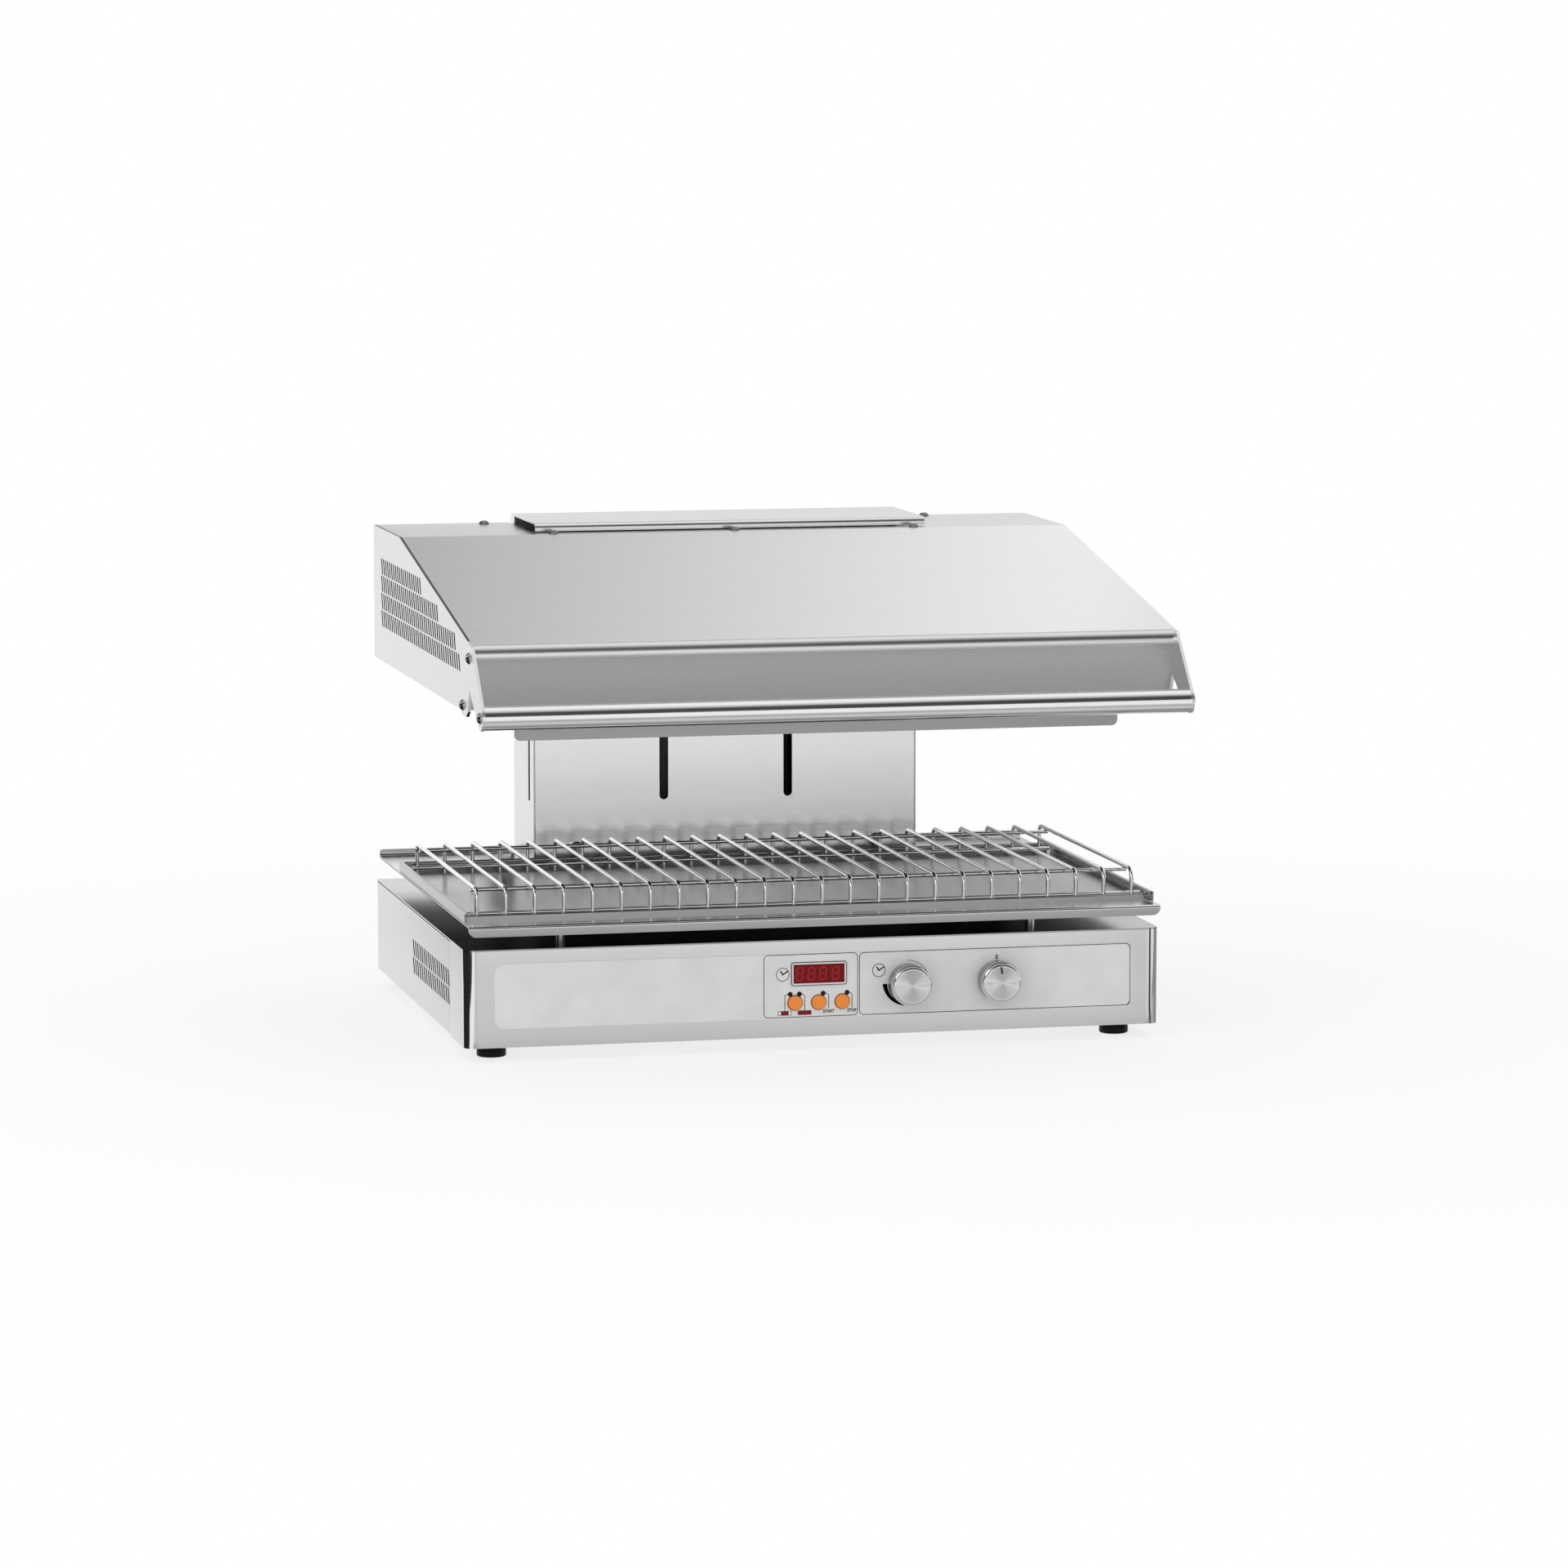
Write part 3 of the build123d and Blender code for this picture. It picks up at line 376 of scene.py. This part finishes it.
# Feet: four short round feet of moulded black plastic with a round lower edge.
# Each has a stud moulded in, which passes up through the base's bottom plate and holds it.
def moulded_plastic(name, colour, roughness, grain=0.04, specular=0.5):
    """Moulded plastic with a fine grain in its gloss and a slight drift of colour."""
    pit_scale, drift_scale, relief_strength, darker, lighter = 900, 40, 0.1, 0.9, 1.1
    material, shader, shade = new_finish(name)
    place = shade.node("TexCoord", out="Object")
    pits = shade.node("TexNoise", {}, {"Vector": place, "Scale": pit_scale, "Detail": 2})
    slow = shade.node("TexNoise", {}, {"Vector": place, "Scale": drift_scale, "Detail": 2})
    shade.join(drift(shade, slow, colour, darker, lighter), shader.inputs["Base Color"])
    shade.join(roughness - grain + pits * (2 * grain), shader.inputs["Roughness"])
    relief = {"Strength": relief_strength, "Distance": relief_height, "Height": pits}
    shade.join(shade.node("Bump", {}, relief), shader.inputs["Normal"])
    shader.inputs["Specular IOR Level"].default_value = specular
    return material


dress(moulded_plastic("foot_black", (0.006, 0.006, 0.006), roughness=0.3, specular=0.1), "feet")


# Control overlay: a silver-grey plastic film, glued on the front panel over its holes.
# All its signs are screen printed; thin dark lines frame the timer and the knobs.
dress(moulded_plastic("overlay_silver", (0.75, 0.755, 0.745), roughness=0.42), "control_overlay")
film_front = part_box("control_overlay")[0].y
ink_height, print_line, corner_steps = 0.00008, 0.00055, 8


def printed_ink(name, colour):
    """Screen ink: matt, with very little gloss."""
    return moulded_plastic(name, colour, roughness=0.6, specular=0.12)


ink_dark = printed_ink("ink_dark", (0.03, 0.03, 0.034))


def face_front(x, z, width, height, y=None):
    """A plane that faces the front, with its place in its mesh."""
    bpy.ops.object.select_all(action="DESELECT")
    place = (x, film_front if y is None else y, z)
    bpy.ops.mesh.primitive_plane_add(size=1, location=place, rotation=(radians(90), 0, 0))
    made = bpy.context.object
    made.scale = (width, height, 1)
    bpy.ops.object.transform_apply(location=True, rotation=True, scale=True)
    return made


def raise_print(made, height=ink_height):
    """Gives a flat shape the thickness of its ink or plate, towards the front."""
    bpy.ops.object.mode_set(mode="EDIT")
    bpy.ops.mesh.select_all(action="SELECT")
    bpy.ops.mesh.extrude_region_move(TRANSFORM_OT_translate={"value": (0, -height, 0)})
    bpy.ops.mesh.select_all(action="SELECT")
    bpy.ops.mesh.normals_make_consistent(inside=False)
    bpy.ops.object.mode_set(mode="OBJECT")
    return made


def rounded_plate(x, z, width, height, corner, y=None):
    """A plane with round corners."""
    made = face_front(x, z, width, height, y)
    bpy.ops.object.mode_set(mode="EDIT")
    bpy.ops.mesh.select_all(action="SELECT")
    bpy.ops.mesh.bevel(offset=corner, segments=corner_steps, affect="VERTICES")
    bpy.ops.object.mode_set(mode="OBJECT")
    return made


def hollow(made, line):
    """Cuts the middle out of a flat shape and leaves a line along its edge."""
    bpy.ops.object.mode_set(mode="EDIT")
    bpy.ops.mesh.select_all(action="SELECT")
    bpy.ops.mesh.inset(thickness=line)
    bpy.ops.mesh.delete(type="FACE")
    bpy.ops.object.mode_set(mode="OBJECT")
    return made


def rounded_frame(x0, x1, z0, z1, corner, y=None):
    """A printed line round a plate with round corners."""
    made = rounded_plate((x0 + x1) / 2, (z0 + z1) / 2, x1 - x0, z1 - z0, corner, y)
    return raise_print(hollow(made, print_line))


def merge(name, pieces, material, body="base"):
    """Joins pieces to one object, names and dresses it, and lets it ride on a body."""
    bpy.ops.object.select_all(action="DESELECT")
    for piece in pieces:
        piece.select_set(True)
    bpy.context.view_layer.objects.active = pieces[0]
    if len(pieces) > 1:
        bpy.ops.object.join()
    made = bpy.context.object
    made.name = name
    made.data.name = name
    made.data.materials.clear()
    made.data.materials.append(material)
    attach(made, body)
    return made


frame_corner = 0.004
timer_frame = (-0.0457, 0.03585, 0.0292, 0.0828)
knob_frame = (0.0369, 0.2744, 0.0292, 0.0826)
frames = [rounded_frame(*edges, frame_corner) for edges in (timer_frame, knob_frame)]
merge("overlay_frames", frames, ink_dark)


# Display: a clear red plastic window in a pale moulded bezel, which clips into the panel from
# behind. Four dim seven-segment digits show in it, and a thin dark line runs round the bezel.
def red_window(name, colour):
    """Dark red see-through plastic, seen as a glossy deep red."""
    return moulded_plastic(name, colour, roughness=0.16, grain=0.03, specular=0.2)


dress(red_window("window_red", (0.155, 0.003, 0.005)), "display_lens")
dress(moulded_plastic("ring_light", (0.74, 0.74, 0.735), roughness=0.4), "display_bezel")
outline_edges, outline_corner = (-0.02195, 0.02595, 0.05605, 0.07595), 0.0024
outline = rounded_frame(*outline_edges, outline_corner, y=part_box("display_bezel")[0].y)
merge("display_outline", [outline], ink_dark)

window_low, window_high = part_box("display_lens")
window_z = (window_low.z + window_high.z) / 2
digit_xs = (-0.0146, -0.0045, 0.0055, 0.0164)
digit_width, digit_height, stroke, lean = 0.0066, 0.0116, 0.0012, 0.1
bar_length = digit_width - 1.6 * stroke
post_length = (digit_height - stroke) / 2 - 0.9 * stroke
segment_corner = 0.4 * stroke
segments = []
for digit_x in digit_xs:
    for rise in (-1, 0, 1):
        height = rise * (digit_height - stroke) / 2
        segments.append((digit_x + lean * height, window_z + height, bar_length, stroke))
    for side in (-1, 1):
        for rise in (-1, 1):
            height = rise * (digit_height - stroke) / 4
            x = digit_x + lean * height + side * (digit_width - stroke) / 2
            segments.append((x, window_z + height, stroke, post_length))
bars = [
    raise_print(rounded_plate(*segment, segment_corner, window_low.y), ink_height / 2)
    for segment in segments
]
merge("display_digits", bars, red_window("digit_red", (0.42, 0.012, 0.016)))


# Timer print: two clock signs, four small lamps with their lead lines, and two signs that show
# which heating zones are on. All of it is screen print on the film.
def disc(x, z, radius, y=None, sides=40):
    """A round flat plate that faces the front."""
    bpy.ops.object.select_all(action="DESELECT")
    place = (x, film_front if y is None else y, z)
    bpy.ops.mesh.primitive_circle_add(
        vertices=sides, radius=radius, fill_type="NGON", location=place, rotation=(radians(90), 0, 0)
    )
    bpy.ops.object.transform_apply(location=True, rotation=True, scale=True)
    return bpy.context.object


def ring_line(x, z, radius, line_width):
    """A printed circle."""
    return raise_print(hollow(disc(x, z, radius), line_width))


def hand(x, z, end_x, end_z, width):
    """A printed stroke from one point to another."""
    run = Vector((end_x - x, 0, end_z - z))
    bpy.ops.object.select_all(action="DESELECT")
    middle = ((x + end_x) / 2, film_front, (z + end_z) / 2)
    bpy.ops.mesh.primitive_plane_add(size=1, location=middle, rotation=(radians(90), 0, 0))
    made = bpy.context.object
    made.scale = (run.length + width, width, 1)
    made.rotation_euler.y = -Vector((run.x, run.z)).angle_signed(Vector((1, 0)))
    bpy.ops.object.transform_apply(location=True, rotation=True, scale=True)
    return raise_print(made)


clock_places, clock_radius = ((-0.0292, 0.0659), (0.0540, 0.0668)), 0.0058
clock_hands = ((-0.0017, 0.0026, 0.0012), (0.0040, 0.0025, 0.0011))
signs = []
for clock_x, clock_z in clock_places:
    signs.append(ring_line(clock_x, clock_z, clock_radius, print_line))
    for reach_x, reach_z, width in clock_hands:
        signs.append(hand(clock_x, clock_z, clock_x + reach_x, clock_z + reach_z, width))

lamp_z, lamp_radius, lead_bend, bend_steps = 0.0490, 0.0021, 0.0025, 6


def lead_line(lamp_x, leg_x, end_z):
    """A printed line that leaves a lamp sideways and turns down to its sign."""
    side = 1 if leg_x > lamp_x else -1
    top_z = lamp_z - lead_bend
    made = face_front(leg_x, (top_z + end_z) / 2, print_line, top_z - end_z)
    bpy.ops.object.mode_set(mode="EDIT")
    bpy.ops.mesh.select_all(action="DESELECT")
    bpy.ops.object.mode_set(mode="OBJECT")
    for vertex in made.data.vertices:
        vertex.select = vertex.co.z > (top_z + end_z) / 2
    bpy.ops.object.mode_set(mode="EDIT")
    centre = (leg_x - side * lead_bend, film_front, top_z)
    bpy.ops.mesh.spin(steps=bend_steps, angle=side * pi / 2, center=centre, axis=(0, 1, 0))
    bpy.ops.object.mode_set(mode="OBJECT")
    return raise_print(made)


leads = (
    (-0.0228, -0.0274, 0.0349),
    (-0.0148, -0.0102, 0.0349),
    (0.0057, 0.0105, 0.0364),
    (0.0264, 0.0307, 0.0362),
)
signs += [lead_line(*lead) for lead in leads]
merge("timer_print", signs, ink_dark)
lamps = [raise_print(disc(lead[0], lamp_z, lamp_radius), 2 * ink_height) for lead in leads]
merge("timer_lamps", lamps, red_window("lamp_dark_red", (0.022, 0.003, 0.005)))

sign_low, sign_high, sign_width = 0.0311, 0.0349, 0.0118
block_width, block_pitch, block_margin, block_count = 0.0021, 0.0029, 0.0007, 4
sign_height, sign_z = sign_high - sign_low, (sign_low + sign_high) / 2
sign_ink, sign_red, sign_white = [], [], []
for sign_x, whites in ((-0.0274, (0, 3)), (-0.0103, ())):
    sign_ink.append(raise_print(face_front(sign_x, sign_z, sign_width, sign_height)))
    for step in range(block_count):
        block_x = sign_x + (step - (block_count - 1) / 2) * block_pitch
        block = face_front(block_x, sign_z, block_width, sign_height - block_margin)
        (sign_white if step in whites else sign_red).append(raise_print(block, 2 * ink_height))
merge("zone_sign_ground", sign_ink, ink_dark)
merge("zone_sign_red", sign_red, printed_ink("ink_red", (0.30, 0.010, 0.016)))
merge("zone_sign_white", sign_white, printed_ink("ink_white", (0.8, 0.8, 0.79)))


# Words and marks: START and STOP under the buttons, a nought with a tick over the right knob,
# a swelling arc and a thin arc round the left knob, all printed in the same dark ink.
def word(text, x, z, height, width):
    """Printed capitals, scaled to a height and a width, that stand on the film."""
    letter_depth, letter_weight = 0.04, 0.04
    bpy.ops.object.select_all(action="DESELECT")
    bpy.ops.object.text_add()
    letters = bpy.context.object
    letters.data.body = text
    letters.data.extrude = letter_depth
    letters.data.offset = letter_weight
    bpy.ops.object.convert(target="MESH")
    made = bpy.context.object
    low = Vector([min(v.co[axis] for v in made.data.vertices) for axis in range(3)])
    high = Vector([max(v.co[axis] for v in made.data.vertices) for axis in range(3)])
    size = high - low
    for vertex in made.data.vertices:
        share = [(vertex.co[axis] - low[axis]) / size[axis] - 0.5 for axis in range(3)]
        depth = film_front - ink_height / 2 - share[2] * ink_height
        vertex.co = (x + share[0] * width, depth, z + share[1] * height)
    return made


word_height, nought_x, tick_low, tick_high = 0.0028, 0.1567, 0.0714, 0.0722
words = [
    word("START", 0.0106, 0.0337, word_height, width=0.0098),
    word("STOP", 0.0307, 0.0338, word_height, width=0.0081),
    word("0", nought_x, 0.0748, height=0.0038, width=0.0021),
    hand(nought_x, tick_low, nought_x, tick_high, width=0.0005),
]
merge("words", words, ink_dark)

knob_names = ("knob_left", "knob_right")
knob_centres = {}
for knob in knob_names:
    low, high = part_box(knob)
    knob_centres[knob] = ((low.x + high.x) / 2, low.y, (low.z + high.z) / 2)


def cut_away(made, point, normal):
    """Cuts a shape along a plane and throws away the side that the normal points to."""
    bpy.ops.object.select_all(action="DESELECT")
    made.select_set(True)
    bpy.context.view_layer.objects.active = made
    bpy.ops.object.mode_set(mode="EDIT")
    bpy.ops.mesh.select_all(action="SELECT")
    bpy.ops.mesh.bisect(plane_co=point, plane_no=normal, clear_outer=True, use_fill=False)
    bpy.ops.object.mode_set(mode="OBJECT")


arc_x, _, arc_z = knob_centres["knob_left"]
arc_sides, side_gap, top_gap, rim_slack = 120, 0.0004, 0.0002, 0.001
swell_radius, swell_tail, swell_width = 0.0214, 0.0194, 0.0042
thin_radius, thin_width, thin_rise = 0.0196, 0.0004, 0.0088
swell = hollow(disc(arc_x, arc_z, swell_radius, sides=arc_sides), swell_width)
for vertex in swell.data.vertices:
    run = Vector((vertex.co.x - arc_x, 0, vertex.co.z - arc_z))
    if run.length > swell_radius - rim_slack:
        share = min(max(run.z / run.length + 1, 0), 1)
        run.length = swell_tail + (swell_radius - swell_tail) * share
        vertex.co.x = arc_x + run.x
        vertex.co.z = arc_z + run.z
cut_away(swell, (arc_x, film_front, arc_z - top_gap), (0, 0, 1))
cut_away(swell, (arc_x - side_gap, film_front, arc_z), (1, 0, 0))
thin = hollow(disc(arc_x, arc_z, thin_radius, sides=arc_sides), thin_width)
cut_away(thin, (arc_x + side_gap, film_front, arc_z), (-1, 0, 0))
cut_away(thin, (arc_x, film_front, arc_z + thin_rise), (0, 0, -1))
merge("knob_arcs", [raise_print(swell), raise_print(thin)], ink_dark)


# Push buttons: three satin orange plastic caps that stand a little proud of the film.
# Each is moulded with a stem behind it, and a thin brown line is printed round its hole.
button_names = ("button_zone", "button_start", "button_stop")
dress(moulded_plastic("button_orange", (1.0, 0.27, 0.022), roughness=0.4), *button_names)
ring_gap, ring_thickness = 0.0007, 0.0004
rings = []
for button in button_names:
    low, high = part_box(button)
    ring_x, ring_z = (low.x + high.x) / 2, (low.z + high.z) / 2
    rings.append(ring_line(ring_x, ring_z, (high.x - low.x) / 2 + ring_gap, ring_thickness))
merge("button_rings", rings, printed_ink("ink_brown", (0.10, 0.045, 0.02)))


# Knobs: turned from aluminium bar and faced in fine rings, which throw a fan of light.
# Each has a round front edge and a narrower neck, and is pressed on its switch's shaft.
knob_edge, knob_neck, knob_neck_length = 0.0036, 0.001, 0.004
knob_sides, edge_steps, smooth_angle = 96, 14, 8
ring_width, ring_count, ring_slopes = 0.00012, 110, (8, -8, 22, -22)


def draw_out(depth, factor, centre):
    """Draws the selected rim out towards the back and widens or narrows it."""
    bpy.ops.mesh.extrude_edges_move(TRANSFORM_OT_translate={"value": (0, depth, 0)})
    bpy.ops.transform.resize(value=(factor, 1, factor), center_override=centre)


def turned_knob(name):
    """A knob whose front is faced ring by ring, with its round edge, side and neck."""
    low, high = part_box(name)
    radius = (high.x - low.x) / 2
    centre = knob_centres[name]
    rim = radius - knob_edge
    made = disc(centre[0], centre[2], rim, centre[1], sides=knob_sides)
    bpy.ops.object.mode_set(mode="EDIT")
    bpy.ops.mesh.select_mode(type="FACE")
    bpy.ops.mesh.select_all(action="SELECT")
    for ring in range(ring_count):
        bpy.ops.mesh.inset(thickness=ring_width)
        slope = radians(ring_slopes[ring % len(ring_slopes)])
        bpy.ops.transform.translate(value=(0, ring_width * tan(slope), 0))
    bpy.ops.mesh.select_mode(type="EDGE")
    bpy.ops.mesh.select_all(action="DESELECT")
    bpy.ops.mesh.select_non_manifold()
    depth = 0
    for step in range(1, edge_steps + 1):
        turn = step * pi / 2 / edge_steps
        wide, deep = radius - knob_edge * (1 - sin(turn)), knob_edge * (1 - cos(turn))
        draw_out(deep - depth, wide / rim, centre)
        rim, depth = wide, deep
    neck = high.y - low.y - knob_neck_length
    draw_out(neck - depth, 1, centre)
    draw_out(knob_neck, (radius - knob_neck) / radius, centre)
    draw_out(knob_neck_length - knob_neck, 1, centre)
    bpy.ops.mesh.edge_face_add()
    bpy.ops.mesh.select_all(action="SELECT")
    bpy.ops.mesh.normals_make_consistent(inside=False)
    bpy.ops.object.mode_set(mode="OBJECT")
    bpy.ops.object.shade_smooth_by_angle(angle=radians(smooth_angle))
    return made


def turned_metal(name, axis_x, axis_z, side_y, tone, shaded_side_tone):
    """Turned aluminium: its tone and gloss change from ring to ring, and its side is rougher and
    darkened with painted shade.
    """
    ring_density, darker, lighter, side_blend = 2600, 0.93, 1.05, 0.001
    face_rough, ring_rough, side_rough = 0.12, 0.08, 0.12
    material, shader, shade = new_finish(name)
    place = shade.node("TexCoord", out="Object")
    across = place.axis("X") - axis_x
    up = place.axis("Z") - axis_z
    radius = (across * across + up * up) ** 0.5
    waves = {"W": radius * ring_density, "Scale": 1, "Detail": 1}
    rings = shade.node("TexNoise", {"noise_dimensions": "1D"}, waves)
    face = drift(shade, rings, [tone] * 3, darker, lighter)
    edge = {"Value": place.axis("Y"), "From Min": side_y, "From Max": side_y + side_blend}
    side = shade.node("MapRange", {}, edge)
    colour = shade.mix(side, face, [shaded_side_tone] * 3 + [1])
    shade.join(colour, shader.inputs["Base Color"])
    shade.join(face_rough + rings * ring_rough + side * side_rough, shader.inputs["Roughness"])
    shader.inputs["Metallic"].default_value = 1
    return material


for knob in knob_names:
    knob_x, knob_y, knob_z = knob_centres[knob]
    side_y = knob_y + knob_edge
    # The knob's side gets a much lower tone than its face: painted shade.
    finish = turned_metal(knob + "_turned", knob_x, knob_z, side_y, tone=0.8, shaded_side_tone=0.34)
    dress(finish, knob)
    turned = merge(knob + "_turned", [turned_knob(knob)], finish, knob)
    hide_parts(knob)


# Pointer: a short stroke near the edge of the right knob's face, which points at the nought.
# It is a groove in the aluminium, filled with black paint, and turns with the knob.
point_x, point_y, point_z = knob_centres["knob_right"]
outer_x, outer_z = point_x - 0.0011, point_z + 0.0130
inner_x, inner_z = point_x - 0.0004, point_z + 0.0088
pointer = hand(outer_x, outer_z, inner_x, inner_z, width=0.0017)
for vertex in pointer.data.vertices:
    vertex.co.y += point_y - film_front
merge("knob_pointer", [pointer], ink_dark, "knob_right")


# Carrier plate, drip pan and rack: a folded steel plate on the posts, on it a loose pan with
# hemmed walls, and standing in the pan a rack of bent cross wires, welded to four long wires.
def shade_underside(material, level, front_y):
    """Paints near-black shade on a plate's underside behind its front lip, and makes it matt."""
    painted_shade_colour, matt_rough = [0.04, 0.04, 0.04, 1], 0.3
    colour_socket, sheen = fed(material, "Base Color")
    rough_socket, rough = fed(material, "Roughness")
    place = sheen.node("TexCoord", out="Object")
    low = sheen.maths("LESS_THAN", place.axis("Z"), level)
    under = low * sheen.maths("GREATER_THAN", place.axis("Y"), front_y)
    sheen.join(sheen.mix(under, sheen, painted_shade_colour), colour_socket)
    rough.join(rough + under * matt_rough, rough_socket)


carrier_steel = brushed_steel("carrier_steel", tone=0.72, roughness=0.2)
# The carrier plate's underside gets painted shade, for the dark gap over the base's top.
shade_underside(carrier_steel, level=0.1153, front_y=-0.188)
dress(carrier_steel, "carrier_plate")
dress(brushed_steel("pan_steel", tone=0.42, roughness=0.22), "drip_pan")
dress(polished_steel("rack_wire", tone=0.86, roughness=0.1), "rack_bars", "rack_rails")


# Column: a folded stainless shell on the back of the base, closed by a brushed front sheet with
# two slots and by a cap on top. Two round stops on it keep the rack off the sheet.
dress(brushed_steel("column_steel", tone=0.94, roughness=0.24, streak=0.03), "column_front")
dress(brushed_steel("column_side_steel", tone=0.8), "column_shell")
dress(brushed_steel("cap_steel", tone=0.78, roughness=0.24), "column_cap")
dress(polished_steel("stop_steel", tone=0.3, roughness=0.2), "rack_stops")


# Hood: one stainless sheet, folded to top, slope, round nose and fascia, between two laser-cut
# side plates that button-head screws hold. A tube handle runs between the plates' arms, and the
# heater sits inside: a tray with a front lip, tube elements on ceramic beads, and mineral wool.
dress(brushed_steel("hood_steel", tone=0.73, roughness=0.28), "hood_shell")
dress(brushed_steel("plate_steel", tone=0.8, grain=1), "hood_side_right")
# The left plate is a copy of the right plate's steel with painted shade on its edges and inside,
# standing for the shadow gap along the shell.
left_plate_shaded = brushed_steel("left_plate_shaded", tone=0.8, grain=1)
shade_edges(left_plate_shaded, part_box("hood_side_right")[1].x, front_y=-0.21)
dress(left_plate_shaded, "hood_side_left")
dress(brushed_steel("hood_back_steel", tone=0.6), "hood_back_left", "hood_back_right")
tunnel_steel = brushed_steel("tunnel_steel", tone=0.12, roughness=0.5)
dress(tunnel_steel, "hood_tunnel", "hood_bottom_plate")
dress(polished_steel("handle_steel", tone=0.84, roughness=0.16), "handle_tube")
dress(polished_steel("screw_bright", tone=0.4, roughness=0.12), "hood_side_screws")
# The top screws are a darker copy of the same steel: painted shade for the dark they mirror.
dress(polished_steel("screw_shaded", tone=0.18, roughness=0.08), "hood_top_screws")
# The lip's low tone is painted shade for the hood's shadow over it.
dress(brushed_steel("lip_steel_shaded", tone=0.34, roughness=0.3), "heater_lip")
dress(brushed_steel("tray_steel", tone=0.2, roughness=0.4), "heater_tray")
element_steel = brushed_steel("element_steel", tone=0.22, roughness=0.45)
dress(element_steel, "elements_inner", "elements_outer", "element_support")
dress(moulded_plastic("bead_ceramic", (0.78, 0.76, 0.7), roughness=0.6), "element_beads")
dress(moulded_plastic("mineral_wool", (0.10, 0.095, 0.08), roughness=0.9), "insulation")


# Lift: two ground steel guide rods stand inside the column, held at the top by a bracket. The
# carriage slides on them in bronze bushes and carries the hood on its arms; two gas springs
# hold it up.
dress(polished_steel("rod_steel", tone=0.7, roughness=0.12), "guide_rods", "gas_spring_rods")
dress(brushed_steel("carriage_steel", tone=0.5, grain=2), "rod_bracket", "carriage")
bush_bronze = polished_steel("bush_bronze", tone=0.62, roughness=0.3, tint=(1, 0.7, 0.42))
dress(bush_bronze, "carriage_bushes")
spring_black = moulded_plastic("spring_black", (0.015, 0.015, 0.016), roughness=0.25)
dress(spring_black, "gas_spring_cylinders")


# Electrics: a black plastic gland in the back panel, a terminal block, two boards on brass
# standoffs, and two rotary switches whose steel shafts carry the knobs. All are screwed in.
dress(moulded_plastic("gland_black", (0.02, 0.02, 0.02), roughness=0.4), "cable_gland", "gland_nut")
switch_black = moulded_plastic("switch_black", (0.03, 0.03, 0.032), roughness=0.45)
dress(switch_black, "knob_switch_left", "knob_switch_right")
dress(moulded_plastic("terminal_white", (0.75, 0.74, 0.7), roughness=0.45), "terminal_block")
board_green = moulded_plastic("board_green", (0.02, 0.14, 0.05), roughness=0.35)
dress(board_green, "display_board", "power_board")
standoff_brass = polished_steel("standoff_brass", tone=0.75, roughness=0.25, tint=(1, 0.8, 0.42))
dress(standoff_brass, "board_standoffs", "power_standoffs")
shaft_steel = polished_steel("shaft_steel", tone=0.6, roughness=0.2)
dress(shaft_steel, "knob_shaft_left", "knob_shaft_right")
